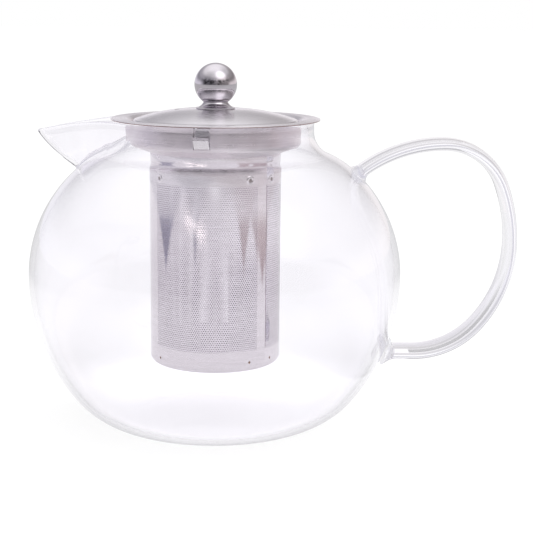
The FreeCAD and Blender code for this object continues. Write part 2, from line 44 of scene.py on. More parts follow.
def add_node(tree, kind, inputs=None, **settings):
    """Adds a node. Each input is given by name or number, as a value or as the socket that feeds it."""
    made = tree.nodes.new(kind)
    for name, value in settings.items():
        setattr(made, name, value)
    for name, value in (inputs or {}).items():
        if isinstance(value, bpy.types.NodeSocket):
            tree.links.new(value, made.inputs[name])
        else:
            made.inputs[name].default_value = value
    return made


def link(tree, kind, inputs=None, **settings):
    """Adds a node and gives its first output."""
    return add_node(tree, kind, inputs, **settings).outputs[0]


def parts(tree, vector):
    return add_node(tree, "ShaderNodeSeparateXYZ", {0: vector}).outputs


def object_place(tree):
    return add_node(tree, "ShaderNodeTexCoord").outputs["Object"]


def calc(tree, operation, a, b=0.0, c=0.0):
    return link(tree, "ShaderNodeMath", {0: a, 1: b, 2: c}, operation=operation)


def product(tree, first, *others):
    for other in others:
        first = calc(tree, "MULTIPLY", first, other)
    return first


def remap(tree, value, low, high, to_low=0.0, to_high=1.0, kind="SMOOTHSTEP"):
    inputs = {"Value": value, "From Min": low, "From Max": high, "To Min": to_low, "To Max": to_high}
    return add_node(tree, "ShaderNodeMapRange", inputs, interpolation_type=kind).outputs["Result"]


def mix_levels(tree, factor, a, b):
    return link(tree, "ShaderNodeMix", {0: factor, 2: a, 3: b})


def mix_colours(tree, factor, a, b, blend="MIX"):
    inputs = {0: factor, 6: a, 7: b}
    return add_node(tree, "ShaderNodeMix", inputs, data_type="RGBA", blend_type=blend).outputs[2]


def scale_colour(tree, colour, factor):
    return link(tree, "ShaderNodeVectorMath", {0: colour, "Scale": factor}, operation="SCALE")


def noise(tree, place, scale, detail=2.0):
    inputs = {"Vector": place, "Scale": scale, "Detail": detail}
    return add_node(tree, "ShaderNodeTexNoise", inputs).outputs["Fac"]


def new_material(name):
    made = bpy.data.materials.new(name)
    made.use_nodes = True
    made.node_tree.nodes.clear()
    return made, made.node_tree


def seen_through_glass(tree):
    """1 for what the camera sees straight through glass, 0 for light and for reflections."""
    path = add_node(tree, "ShaderNodeLightPath").outputs
    bounces = calc(tree, "ADD", path["Glossy Depth"], path["Diffuse Depth"])
    return product(tree, path["Is Transmission Ray"], calc(tree, "LESS_THAN", bounces, 0.5))


def ramp(tree, value, stops):
    """Grey levels by value, from (value, level) stops, run smoothly together."""
    low_stop, high_stop = stops[0][0], stops[-1][0]
    made = add_node(tree, "ShaderNodeValToRGB", {0: remap(tree, value, low_stop, high_stop, 0.0, 1.0, "LINEAR")})
    made.color_ramp.interpolation = "EASE"
    while len(made.color_ramp.elements) < len(stops):
        made.color_ramp.elements.new(0.5)
    for element, (at, grey) in zip(made.color_ramp.elements, stops):
        element.position = (at - low_stop) / (high_stop - low_stop)
        element.color = (grey, grey, grey, 1.0)
    return made.outputs["Color"]


WHITE = (1.0, 1.0, 1.0, 1.0)
# The share of white in what a thick edge of glass throws back from inside, and what it shows of the room beside
# the white wall when it bends the view far aside.
EDGE_LIGHT = 0.4
EDGE_DARK = (0.10, 0.09, 0.12, 1.0)
# Faces of glass that a ray has met at most in one wall, and before it leaves the pot through a second one.
ONE_WALL, TWO_WALLS = 2.5, 3.5
ROOM_LEFT = (0.94, 0.93, 1.0, 1.0)
ROOM_RIGHT = (1.0, 0.94, 0.93, 1.0)
# Grey levels of the room by height, in front of the pot and behind it, and the soft box high on the right.
ROOM_FRONT = [(-0.2, 0.25), (0.05, 0.16), (0.28, 0.2), (0.5, 0.62), (0.75, 1.05), (1.0, 1.2)]
ROOM_BACK = [(-0.2, 1.0), (0.08, 0.96), (0.32, 0.5), (0.52, 0.66), (0.78, 1.25), (1.0, 1.35)]
BOX_WAY, BOX_GLOW = Vector((0.42, -0.5, 0.76)).normalized(), 0.7

scene = bpy.context.scene
scene.view_settings.view_transform = "Standard"
room = bpy.data.worlds.new("room")
scene.world = room
room.use_nodes = True
tree = room.node_tree
tree.nodes.clear()
way = add_node(tree, "ShaderNodeTexCoord").outputs["Generated"]
side, depth, rise = parts(tree, way)
patches = noise(tree, way, 3.6, 3.0)
patchy = remap(tree, patches, 0.36, 0.64, 0.35, 1.5)
patchy = mix_levels(tree, remap(tree, rise, 0.3, 0.6), patchy, 1.0)
front = scale_colour(tree, ramp(tree, rise, ROOM_FRONT), patchy)
front = scale_colour(tree, front, remap(tree, side, -0.6, 0.6, 0.65, 1.35))
beside = product(tree, remap(tree, side, -0.7, -0.2, 0.85, 1.03), remap(tree, side, 0.1, 0.6, 1.0, 0.66))
beside = mix_levels(tree, remap(tree, rise, 0.05, 0.25), 1.0, beside)
back = scale_colour(tree, ramp(tree, rise, ROOM_BACK), beside)
lit = mix_colours(tree, remap(tree, depth, -0.6, 0.15), front, back)
to_box = add_node(tree, "ShaderNodeVectorMath", {0: way, 1: BOX_WAY}, operation="DOT_PRODUCT").outputs["Value"]
box_light = scale_colour(tree, WHITE[:3], remap(tree, to_box, 0.85, 0.99, 0.0, BOX_GLOW))
lit = mix_colours(tree, 1.0, lit, box_light, "ADD")
tint = mix_colours(tree, remap(tree, side, -0.7, 0.7), ROOM_LEFT, ROOM_RIGHT)
tint = mix_colours(tree, remap(tree, rise, 0.35, 0.8), tint, WHITE)
lit = mix_colours(tree, 1.0, lit, tint, "MULTIPLY")
behind = product(tree, seen_through_glass(tree), remap(tree, depth, -0.6, -0.1))
bent = calc(tree, "MAXIMUM", rise, calc(tree, "ABSOLUTE", side))
wall = mix_colours(tree, remap(tree, bent, 0.3, 0.6), WHITE, EDGE_DARK)
path = add_node(tree, "ShaderNodeLightPath").outputs
inside_edge = calc(tree, "MAXIMUM", calc(tree, "LESS_THAN", path["Transmission Depth"], TWO_WALLS),
                   calc(tree, "GREATER_THAN", path["Glossy Depth"], 1.5))
inside_edge = product(tree, path["Is Transmission Ray"], inside_edge)
lit = mix_colours(tree, product(tree, inside_edge, EDGE_LIGHT), lit, WHITE)
seen = mix_colours(tree, behind, lit, wall)
seen = mix_colours(tree, path["Is Camera Ray"], seen, WHITE)
sky = add_node(tree, "ShaderNodeBackground", {"Color": seen})
add_node(tree, "ShaderNodeOutputWorld", {"Surface": sky.outputs[0]})

TABLE_RADIUS, TABLE_GAP = 9.0, 0.0002
TABLE_SHADE, TABLE_GLOW = 0.2, 0.86
# Painted reflections: dark patches on the table which only the basket mirrors, standing for screens round it:
# bearing from the front, nearest point, spread, colour.
MIRRORED_DARK_PATCHES = [(-93.0, 0.40, 1.2, (0.20, 0.20, 0.32, 1.0)), (-33.0, 0.43, 0.5, (0.16, 0.16, 0.26, 1.0)),
           (52.0, 0.40, 0.7, (0.42, 0.30, 0.30, 1.0)), (84.0, 0.34, 1.0, (0.35, 0.23, 0.23, 1.0))]
DARK_PATCH_END = 0.72
# The shade of the table where one thickness of glass, as in the handle, bends the view down to it.
BENT_SHADE = (0.70, 0.69, 0.73, 1.0)
# A bright strip of light round the table's left front, mirrored in the basket too: bearing and distance of its
# middle, half its sizes, and how much nearer it comes for each radian.
STRIP_TURN, STRIP_REACH, STRIP_HALF, STRIP_LEAN = -34.4, 0.655, (0.3, 0.02), 0.2085
STRIP_LIGHT = (3.5, 3.4, 3.1, 1.0)
table_mesh = bpy.data.meshes.new("table")
builder = bmesh.new()
bmesh.ops.create_circle(builder, cap_ends=True, segments=96, radius=TABLE_RADIUS)
bmesh.ops.translate(builder, verts=builder.verts, vec=(0.0, 0.0, -TABLE_GAP))
builder.to_mesh(table_mesh)
builder.free()
table = bpy.data.objects.new("table", table_mesh)
scene.collection.objects.link(table)
table_paint, tree = new_material("table_paint")
mottle = add_node(tree, "ShaderNodeTexNoise", {"Scale": 40.0}).outputs["Fac"]
paint = mix_colours(tree, mottle, (TABLE_SHADE, TABLE_SHADE, TABLE_SHADE, 1.0),
                    (TABLE_SHADE + 0.01, TABLE_SHADE + 0.01, TABLE_SHADE + 0.01, 1.0))
matt = add_node(tree, "ShaderNodeBsdfDiffuse", {"Color": paint})
path = add_node(tree, "ShaderNodeLightPath").outputs
crossed = path["Transmission Depth"]
spot = object_place(tree)
across, away, _ = parts(tree, spot)
reach = add_node(tree, "ShaderNodeVectorMath", {0: spot}, operation="LENGTH").outputs["Value"]
bearing = calc(tree, "ARCTAN2", across, product(tree, away, -1.0))
# What mirrors show of the table, painted shade and light: darker far from the bare steel, lighter close to the pot,
# and darker where they look steeply down at it, for the pot's shadow beneath.
level = remap(tree, away, -1.3, -0.4, 0.62, 0.84)
far = remap(tree, path["Ray Length"], 0.3, 0.45, 0.0, 0.4)
far = product(tree, far, calc(tree, "LESS_THAN", crossed, 0.5))
level = product(tree, level, calc(tree, "SUBTRACT", 1.0, far))
near = remap(tree, reach, 0.12, 0.4, 0.28, 0.0)
near = product(tree, near, calc(tree, "LESS_THAN", crossed, TWO_WALLS))
level = calc(tree, "MULTIPLY_ADD", level, near, level)
in_pot = product(tree, crossed, calc(tree, "LESS_THAN", across, 0.09))
steep = add_node(tree, "ShaderNodeLayerWeight", {"Blend": 0.5}).outputs["Facing"]
steep = calc(tree, "MAXIMUM", remap(tree, steep, 0.4, 0.72, 0.35, 1.0), calc(tree, "MINIMUM", in_pot, 1.0))
in_mirror = calc(tree, "MINIMUM", path["Glossy Depth"], 1.0)
mirrored = product(tree, in_mirror, level, steep)
in_basket = product(tree, in_mirror, calc(tree, "GREATER_THAN", crossed, TWO_WALLS))
colour = WHITE
for turn, nearest, spread, dark in MIRRORED_DARK_PATCHES:
    off = calc(tree, "ABSOLUTE", calc(tree, "SUBTRACT", bearing, math.radians(turn)))
    half = product(tree, calc(tree, "SUBTRACT", reach, nearest), spread)
    dark_patch = remap(tree, calc(tree, "SUBTRACT", half, off), -0.02, 0.05)
    dark_patch = product(tree, dark_patch, remap(tree, reach, DARK_PATCH_END - 0.04, DARK_PATCH_END + 0.04, 1.0, 0.3))
    colour = mix_colours(tree, product(tree, dark_patch, in_basket), colour, dark)
from_strip = calc(tree, "SUBTRACT", bearing, math.radians(STRIP_TURN))
nearer = calc(tree, "MULTIPLY_ADD", from_strip, STRIP_LEAN, calc(tree, "SUBTRACT", reach, STRIP_REACH))
in_strip = in_basket
for off, half in zip((from_strip, nearer), STRIP_HALF):
    in_strip = product(tree, in_strip, remap(tree, calc(tree, "ABSOLUTE", off), half * 0.6, half * 1.4, 1.0, 0.0))
colour = mix_colours(tree, in_strip, colour, STRIP_LIGHT)
through = seen_through_glass(tree)
in_handle = product(tree, calc(tree, "LESS_THAN", crossed, ONE_WALL), through)
colour = mix_colours(tree, product(tree, in_handle, remap(tree, away, 0.15, 0.5, 1.0, 0.0)), colour, BENT_SHADE)
# Painted light: seen through the glass, the table close round the pot's foot is lifted brighter, against the shade
# there.
through = product(tree, through, remap(tree, reach, 0.07, 0.13, 1.3, 1.0))
shown = calc(tree, "MAXIMUM", path["Is Camera Ray"], calc(tree, "MAXIMUM", through, mirrored))
glow = add_node(tree, "ShaderNodeEmission", {"Color": colour, "Strength": product(tree, shown, TABLE_GLOW)})
both = add_node(tree, "ShaderNodeAddShader", {0: matt.outputs[0], 1: glow.outputs[0]})
add_node(tree, "ShaderNodeOutputMaterial", {"Surface": both.outputs[0]})
table_mesh.materials.append(table_paint)

EYE = (0.0224, -0.6125, 0.1844)
EYE_DOWN, EYE_ROLL = 10.6, 0.5
camera_data = bpy.data.cameras.new("camera")
camera_data.sensor_width = 36.0
camera_data.lens = 96.05
camera_data.clip_end = 100.0
camera = bpy.data.objects.new("camera", camera_data)
scene.collection.objects.link(camera)
tilt = Matrix.Rotation(math.radians(90.0 - EYE_DOWN), 4, "X")
roll = Matrix.Rotation(math.radians(EYE_ROLL), 4, "Z")
camera.matrix_world = Matrix.Translation(EYE) @ tilt @ roll
scene.camera = camera

lamp_data = bpy.data.lights.new("soft_box", "AREA")
lamp_data.shape = "RECTANGLE"
lamp_data.size, lamp_data.size_y = 0.8, 0.8
lamp_data.energy = 4.0
lamp = bpy.data.objects.new("soft_box", lamp_data)
scene.collection.objects.link(lamp)
lamp.visible_glossy = False
lamp.visible_transmission = False
LAMP_PLACE = Vector((0.75, -0.1, 0.95))
lamp.matrix_world = Matrix.Translation(LAMP_PLACE) @ LAMP_PLACE.to_track_quat("Z", "Y").to_matrix().to_4x4()


# Glass pot: heat-proof clear glass, blown in one piece. The beak is pulled out of the hot rim, the
# rim is melted round in the flame and the foot is pressed almost flat.

MM = 0.001
GLASS_WALL = 2.4
# Arcs of the outer section from the foot to the throat: centre, radius, first and last angle.
BULB_ARCS = [
    (32.8, 38.0, 38.0, -90.0, -38.66),
    (-2.8, 66.5, 83.6, -38.66, 0.0),
    (19.8, 66.5, 61.0, 0.0, 50.38),
    (35.74, 85.76, 36.0, 50.38, 67.95),
    (53.4, 129.3, -11.0, 67.95, 0.0),
]
FOOT = [(0.0, 0.25), (9.0, 0.23), (17.0, 0.16), (23.0, 0.08), (28.0, 0.02), (30.5, 0.0)]
RIM_TOP, RIM_ROUND, RIM_BEAD, BEAD_REACH = 133.95, 1.25, 0.4, 1.8
NECK, BEAK_NOSE, BEAK_ZONE = 42.4, 3.0, 98.0
BEAK_FOOT, BEAK_RISE = 111.5, 22.5
BEAK_FOOT_REACH, BEAK_RIM_REACH, BEAK_BELLY = 58.2, 79.4, 13.0
BEAK_FOOT_SWEEP, BEAK_RIM_SWEEP = 25.0, 60.0
# How softly the beak runs into the shoulder, under its nose and on its flanks.
NOSE_BLEND, FLANK_BLEND = 2.0, 5.0
# The turn from the nose where the flanks begin, and the pull at the rim from which the blend is whole.
FLANK_TURN, WHOLE_PULL = 10.0, 7.0
LIP_START, LIP_ROUND = 38.0, 150.0
# The glass is drawn thinner where it is pulled out: its wall there, and how far out that is reached.
BEAK_WALL, BEAK_THIN = 1.4, 14.0
UPPER_ROWS, RIM_STEPS, LIP_TRIES = 58, 8, 8


def bulb_section(step):
    """Points (radius, height) of the bulb's outside, from the foot's edge to the rim."""
    points = []
    for centre, height, radius, first, last in BULB_ARCS:
        count = max(4, round(abs(radius) * math.radians(abs(last - first)) / step))
        for i in range(count):
            turn = math.radians(first + (last - first) * i / count)
            points.append((centre + radius * math.cos(turn), height + radius * math.sin(turn)))
    return points + [(NECK, BULB_ARCS[-1][1]), (NECK, RIM_TOP + 1.0)]


def between(points, height):
    """Radius of a section at a height, read along its points."""
    for (r0, z0), (r1, z1) in zip(points, points[1:]):
        if z0 <= height <= z1 and z1 > z0:
            return r0 + (r1 - r0) * (height - z0) / (z1 - z0)
    return points[-1][0]


def beak_plan(turn, height):
    """Distance from the axis to the plan of the neck and beak, turn radians away from the beak."""
    share = (height - BEAK_FOOT) / BEAK_RISE
    reach = BEAK_FOOT_REACH + (BEAK_RIM_REACH - BEAK_FOOT_REACH) * share + BEAK_BELLY * share * (1.0 - share)
    sweep = BEAK_FOOT_SWEEP + (BEAK_RIM_SWEEP - BEAK_FOOT_SWEEP) * min(max(share, 0.0), 1.0)
    tip = max(reach - BEAK_NOSE, NECK + 0.5)
    flank_x = ((NECK + sweep) ** 2 - (BEAK_NOSE + sweep) ** 2 + tip ** 2) / (2 * tip)
    flank_y = math.sqrt(max((NECK + sweep) ** 2 - flank_x ** 2, 0.0))
    share = BEAK_NOSE / (BEAK_NOSE + sweep)
    off_nose = math.atan2(flank_y * share, tip + (flank_x - tip) * share)
    turn = abs(turn)
    if turn <= off_nose:
        return tip * math.cos(turn) + math.sqrt(max(BEAK_NOSE ** 2 - (tip * math.sin(turn)) ** 2, 0.0))
    if turn <= math.atan2(flank_y, flank_x):
        near = flank_x * math.cos(turn) + flank_y * math.sin(turn)
        return near - math.sqrt(max(near ** 2 - (NECK + sweep) ** 2 + sweep ** 2, 0.0))
    return NECK


def pulled(turn, height, section):
    """Radius of the outside where the beak has been pulled out of the bulb and runs softly into it."""
    round_radius = between(section, height)
    plan = beak_plan(turn, height)
    aside = min(abs(math.degrees(turn)) / FLANK_TURN, 1.0)
    soft = NOSE_BLEND + (FLANK_BLEND - NOSE_BLEND) * aside * aside * (3.0 - 2.0 * aside)
    soft *= min((beak_plan(turn, RIM_TOP) - NECK) / WHOLE_PULL, 1.0)
    overlap = max(soft - abs(plan - round_radius), 0.0)
    return max(plan, round_radius) + (overlap * overlap / (4.0 * soft) if soft > 0.01 else 0.0)


def beak_turns():
    """Angles round the pot, closest together on the beak."""
    turns, turn = [0.0], 0.0
    while turn < 180.0:
        turn += 0.45 if turn < 6.0 else 0.9 if turn < 52.0 else 1.8
        turns.append(min(turn, 180.0))
    return [-t for t in turns[-2:0:-1]] + turns


def new_mesh(name, points, faces):
    """A mesh from points in millimetres."""
    mesh = bpy.data.meshes.new(name)
    mesh.from_pydata([[c * MM for c in p] for p in points], [], faces)
    return mesh


def ring_mesh(name, rows):
    """A mesh from rings of points, each the same length; the first and last ring may be single points."""
    points, starts = [], []
    for row in rows:
        starts.append(len(points))
        points.extend(row)
    faces = []
    for a, b, low_row, high_row in zip(starts, starts[1:], rows, rows[1:]):
        around = max(len(low_row), len(high_row))
        for i in range(around):
            j = (i + 1) % around
            if len(low_row) == 1:
                faces.append((a, b + j, b + i))
            elif len(high_row) == 1:
                faces.append((a + i, a + j, b))
            else:
                faces.append((a + i, a + j, b + j, b + i))
    mesh = new_mesh(name, points, faces)
    mesh.validate()
    return mesh


def add_piece(name, mesh, material, body, slot, *nodes, sharp=None):
    """Puts a finished mesh in the scene as a piece of the part."""
    if material is not None:
        mesh.materials.clear()
        mesh.materials.append(material)
    mesh.shade_smooth()
    if sharp is not None:
        mesh.set_sharp_from_angle(angle=math.radians(sharp))
    piece = bpy.data.objects.new(name, mesh)
    scene.collection.objects.link(piece)
    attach(piece, body)
    if nodes:
        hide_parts(*nodes)
    return piece


def face_outwards(mesh, merge=None):
    """Turns the faces outwards, once points within the merge distance of each other have become one."""
    builder = bmesh.new()
    builder.from_mesh(mesh)
    if merge is not None:
        bmesh.ops.remove_doubles(builder, verts=builder.verts, dist=merge)
    bmesh.ops.recalc_face_normals(builder, faces=builder.faces)
    builder.to_mesh(mesh)
    builder.free()


def pot_rows():
    """Rings of points up the outside, over the melted rim and down the inside."""
    turns = [math.radians(t) for t in beak_turns()][:-1]
    section = bulb_section(0.4)

    def place(turn, radius, height):
        return Vector((-radius * math.cos(turn), -radius * math.sin(turn), height))

    edges = []
    for turn in turns:
        height = RIM_TOP - RIM_ROUND
        for _ in range(LIP_TRIES):
            reach = pulled(turn, height, section) * math.cos(turn)
            drop = LIP_ROUND - math.sqrt(LIP_ROUND ** 2 - max(reach - 1.0 - LIP_START, 0.0) ** 2)
            height = RIM_TOP - RIM_ROUND - drop
        edges.append(height)
    outside = [[place(t, radius, height) for t in turns] for radius, height in FOOT[1:]]
    for radius, height in bulb_section(1.9):
        if height < BEAK_ZONE - 1.0:
            outside.append([place(t, radius, height) for t in turns])
    for j in range(UPPER_ROWS + 1):
        heights = [BEAK_ZONE + (edge - BEAK_ZONE) * j / UPPER_ROWS for edge in edges]
        outside.append([place(t, pulled(t, h, section), h) for t, h in zip(turns, heights)])

    inside = []
    for j, row in enumerate(outside):
        below, above = outside[max(j - 1, 0)], outside[min(j + 1, len(outside) - 1)]
        line = []
        for i, point in enumerate(row):
            out = (row[(i + 1) % len(row)] - row[i - 1]).cross(above[i] - below[i]).normalized()
            bead = RIM_BEAD * math.exp(-((outside[-1][i] - point).length / BEAD_REACH) ** 2)
            pull = beak_plan(turns[i], point.z) - between(section, point.z) if point.z > BEAK_ZONE else 0.0
            wall = GLASS_WALL + (BEAK_WALL - GLASS_WALL) * min(max(pull, 0.0) / BEAK_THIN, 1.0)
            line.append(point - out * (wall + bead))
        inside.append(line)
    rim = []
    for k in range(1, RIM_STEPS):
        lean = math.pi * k / RIM_STEPS
        row = []
        for outer, inner, under in zip(outside[-1], inside[-1], outside[-2]):
            half, up = (inner - outer) / 2, (outer - under).normalized()
            row.append((outer + inner) / 2 - half * math.cos(lean) + up * half.length * math.sin(lean))
        rim.append(row)
    under, floor = Vector((0.0, 0.0, FOOT[0][1])), Vector((0.0, 0.0, FOOT[0][1] + GLASS_WALL))
    return [[under]] + outside + rim + inside[::-1] + [[floor]]


def smudge_group():
    """Faint handling marks: a slow cloud and finer specks, from 0 to 1."""
    group = bpy.data.node_groups.new("smudges", "ShaderNodeTree")
    group.interface.new_socket("Size", in_out="INPUT", socket_type="NodeSocketFloat")
    group.interface.new_socket("Marks", in_out="OUTPUT", socket_type="NodeSocketFloat")
    given = link(group, "NodeGroupInput")
    place = object_place(group)
    slow = noise(group, place, given, 3.0)
    fine = noise(group, place, product(group, given, 9.0))
    marks = product(group, remap(group, slow, 0.35, 0.7), remap(group, fine, 0.3, 0.7, 0.4, 1.0))
    add_node(group, "NodeGroupOutput", {"Marks": marks})
    return group


GLASS_TINT = (0.976, 0.969, 0.991, 1.0)
GLASS_DEEP = (0.80, 0.79, 0.90, 1.0)
GLASS_DENSITY = 5.0
# A painted glow on the glass's inner faces, in place of what is left of light that has gone to and fro inside a thick
# edge.
PAINTED_EDGE_GLOW = (0.75, 0.74, 0.78, 1.0)
smudges = smudge_group()


def clear_glass(name, waves, wave_size):
    """Clear glass: faint blowing waves on its skin, a little lavender in its depth and a painted glow inside its
    thick edges.
    """
    made, tree = new_material(name)
    marks = add_node(tree, "ShaderNodeGroup", {"Size": 30.0}, node_tree=smudges)
    haze = remap(tree, marks.outputs["Marks"], 0.0, 1.0, 0.0, 0.02, "LINEAR")
    ripple = noise(tree, object_place(tree), wave_size, 1.0)
    skin = link(tree, "ShaderNodeBump", {"Height": ripple, "Strength": waves, "Distance": 0.001})
    glass = add_node(tree, "ShaderNodeBsdfPrincipled", {
        "Base Color": GLASS_TINT, "Transmission Weight": 1.0, "IOR": 1.47,
        "Roughness": haze, "Normal": skin})
    clear = add_node(tree, "ShaderNodeBsdfTransparent", {"Color": (0.994, 0.994, 0.997, 1.0)})
    path = add_node(tree, "ShaderNodeLightPath").outputs
    inner = add_node(tree, "ShaderNodeNewGeometry").outputs["Backfacing"]
    # Painted glow: inner faces that a ray meets after three or more reflections glow instead of showing further
    # bounces.
    trapped = product(tree, inner, calc(tree, "GREATER_THAN", path["Glossy Depth"], 2.5))
    spread = add_node(tree, "ShaderNodeEmission", {"Color": PAINTED_EDGE_GLOW})
    lit = add_node(tree, "ShaderNodeMixShader", {0: trapped, 1: glass.outputs[0], 2: spread.outputs[0]})
    both = add_node(tree, "ShaderNodeMixShader", {0: path["Is Shadow Ray"], 1: lit.outputs[0], 2: clear.outputs[0]})
    depth = add_node(tree, "ShaderNodeVolumeAbsorption", {"Color": GLASS_DEEP, "Density": GLASS_DENSITY})
    add_node(tree, "ShaderNodeOutputMaterial", {"Surface": both.outputs[0], "Volume": depth.outputs[0]})
    return made


blown_glass = clear_glass("blown_glass", 0.025, 22.0)
pot_mesh = ring_mesh("glass_pot", pot_rows())
face_outwards(pot_mesh)


# Glass handle: a flat strap of the same glass, bent hot to the hand and fused to the pot at both
# ends, where it was pressed on and spread into a thick oval foot.

STRAP_WIDTH, STRAP_THICK, STRAP_FULLNESS = 18.8, 5.4, 2.5
STRAP_START, STRAP_LOW, STRAP_STRAIGHT = 79.0, 32.4, 86.6
STRAP_BENDS = [(37.2, 48.0), (55.0, 42.0), (73.0, 20.0), (27.0, 70.0), (58.4, 36.0)]
STRAP_STEP, STRAP_RING = 1.3, 56
# The fused feet: centre in the pot's wall, lean of the foot, and its width and height.
LOWER_FOOT = (75.2, 32.4, -23.5, 23.0, 11.5)
UPPER_FOOT = (60.6, 109.5, 231.0, 23.0, 14.0)
FOOT_STEPS = 12


def bent_on(x, z, heading, radius, turn):
    """Place and heading after a bend of a given radius and turn."""
    a, b = math.radians(heading), math.radians(heading + turn)
    return x + radius * (math.sin(b) - math.sin(a)), z + radius * (math.cos(a) - math.cos(b)), heading + turn


def strap_stations():
    """Stations along the strap: place, heading, width and thickness."""
    x, z, heading = STRAP_START, STRAP_LOW, 0.0
    along = []
    while x < STRAP_STRAIGHT:
        along.append((x, z, heading))
        x += STRAP_STEP
    x = STRAP_STRAIGHT
    for radius, turn in STRAP_BENDS:
        steps = round(radius * math.radians(turn) / STRAP_STEP)
        along += [bent_on(x, z, heading, radius, turn * i / steps) for i in range(steps)]
        x, z, heading = bent_on(x, z, heading, radius, turn)
    along.append((x, z, heading))

    def foot(place, end, backwards):
        fx, fz, lean, width, height = place
        ex, ez, eh = end
        made = []
        for i in range(FOOT_STEPS):
            share = i / FOOT_STEPS
            spread = (1 - share) ** 2.2
            made.append((fx + (ex - fx) * share, fz + (ez - fz) * share, lean + (eh - lean) * share,
                         STRAP_WIDTH + (width - STRAP_WIDTH) * spread,
                         STRAP_THICK + (height - STRAP_THICK) * spread))
        return made[::-1] if backwards else made

    strap = [(x, z, h, STRAP_WIDTH, STRAP_THICK) for x, z, h in along]
    return foot(LOWER_FOOT, along[0], False) + strap + foot(UPPER_FOOT, along[-1], True)


def strap_ring(x, z, heading, width, thick):
    """A cross-section: a flat bar, crowned on both faces and melted round at its edges."""
    turn = math.radians(heading)
    ring = []
    for i in range(STRAP_RING):
        cos, sin = math.cos(2 * math.pi * i / STRAP_RING), math.sin(2 * math.pi * i / STRAP_RING)
        y = math.copysign(abs(cos) ** (2 / STRAP_FULLNESS), cos) * width / 2
        t = math.copysign(abs(sin) ** (2 / STRAP_FULLNESS), sin) * thick / 2
        ring.append((x - math.sin(turn) * t, y, z + math.cos(turn) * t))
    return ring


def capped(rows):
    """The rows with a middle point added at each end, so that the ends close."""
    ends = [[tuple(sum(c) / len(row) for c in zip(*row))] for row in (rows[0], rows[-1])]
    return [ends[0]] + rows + [ends[1]]


def combine(mesh, other, operation):
    """Joins two closed meshes into one skin, or takes the second out of the first."""
    solid = bpy.data.objects.new("solid", mesh)
    tool = bpy.data.objects.new("tool", other)
    scene.collection.objects.link(solid)
    scene.collection.objects.link(tool)
    step = solid.modifiers.new("combine", "BOOLEAN")
    step.operation, step.object, step.solver = operation, tool, "EXACT"
    result = bpy.data.meshes.new_from_object(solid.evaluated_get(bpy.context.evaluated_depsgraph_get()))
    bpy.data.objects.remove(solid)
    bpy.data.objects.remove(tool)
    return result


strap_mesh = ring_mesh("glass_strap", capped([strap_ring(*s) for s in strap_stations()]))
face_outwards(strap_mesh)
pot_mesh = combine(pot_mesh, strap_mesh, "UNION")
pot_mesh.name = "glass_pot"
add_piece("glass_pot", pot_mesh, blown_glass, "pot", "clear_glass", "glass_bowl", "glass_shoulder", "glass_handle",
          sharp=50)


# Infuser collar: a cup spun from half-millimetre stainless steel, satin brushed. Its flange hangs on the
# rim of the pot, and three spring tongues lanced out of its wall press against the neck.

def arc(middle, first, last, steps):
    """Points round a middle, from one arm to another."""
    sweep = first.angle_signed(last)
    points = []
    for k in range(steps + 1):
        arm = first.copy()
        arm.rotate(Matrix.Rotation(-sweep * k / steps, 2))
        points.append(tuple(middle + arm))
    return points


def section(corners, steps=6):
    """A closed section from (radius, height, rounding) corners."""
    points = []
    count = len(corners)
    for i, (r, z, bend) in enumerate(corners):
        here = Vector((r, z))
        before = Vector(corners[i - 1][:2]) - here
        after = Vector(corners[(i + 1) % count][:2]) - here
        if not bend:
            points.append((r, z))
            continue
        half = before.angle(after) / 2
        reach = min(bend / math.tan(half), before.length * 0.49, after.length * 0.49)
        bend = reach * math.tan(half)
        middle = here + (before.normalized() + after.normalized()).normalized() * (bend / math.sin(half))
        first = here + before.normalized() * reach - middle
        last = here + after.normalized() * reach - middle
        points += arc(middle, first, last, steps)
    return points


def braced(outline, closed):
    """Adds a point close to each end of a long run, so that its shading stays straight."""
    points = []
    for (r0, z0), (r1, z1) in zip(outline, outline[1:] + outline[:1] if closed else outline[1:]):
        points.append((r0, z0))
        length = math.hypot(r1 - r0, z1 - z0)
        if length > 1.5:
            for share in (0.1 / length, 1.0 - 0.1 / length):
                points.append((r0 + (r1 - r0) * share, z0 + (z1 - z0) * share))
    return points if closed else points + outline[-1:]


def turned_rows(outline, segments):
    """A ring of points for each (radius, height), or a single point on the axis."""
    turns = [2 * math.pi * i / segments for i in range(segments)]
    return [[(r * math.cos(t), r * math.sin(t), z) for t in turns] if r > 1e-6 else [(0.0, 0.0, z)]
            for r, z in outline]


def lathe(name, outline, segments=160):
    """Turns a closed section, or one that begins and ends on the axis, about the pot's axis."""
    on_axis = abs(outline[0][0]) < 1e-6
    outline = braced(outline, not on_axis)
    mesh = ring_mesh(name, turned_rows(outline if on_axis else outline + outline[:1], segments))
    face_outwards(mesh, 1e-7)
    return mesh


def prism(name, outline, low_end, high_end, place):
    """A solid with a flat outline between two ends; place turns (u, v, w) into a point."""
    count = len(outline)
    points = [place(u, v, w) for w in (low_end, high_end) for u, v in outline]
    faces = [tuple(range(count)), tuple(range(2 * count - 1, count - 1, -1))]
    faces += [(i, i + count, (i + 1) % count + count, (i + 1) % count) for i in range(count)]
    mesh = new_mesh(name, points, faces)
    face_outwards(mesh)
    return mesh


def join(name, meshes):
    builder = bmesh.new()
    for mesh in meshes:
        builder.from_mesh(mesh)
    joined = bpy.data.meshes.new(name)
    builder.to_mesh(joined)
    builder.free()
    return joined


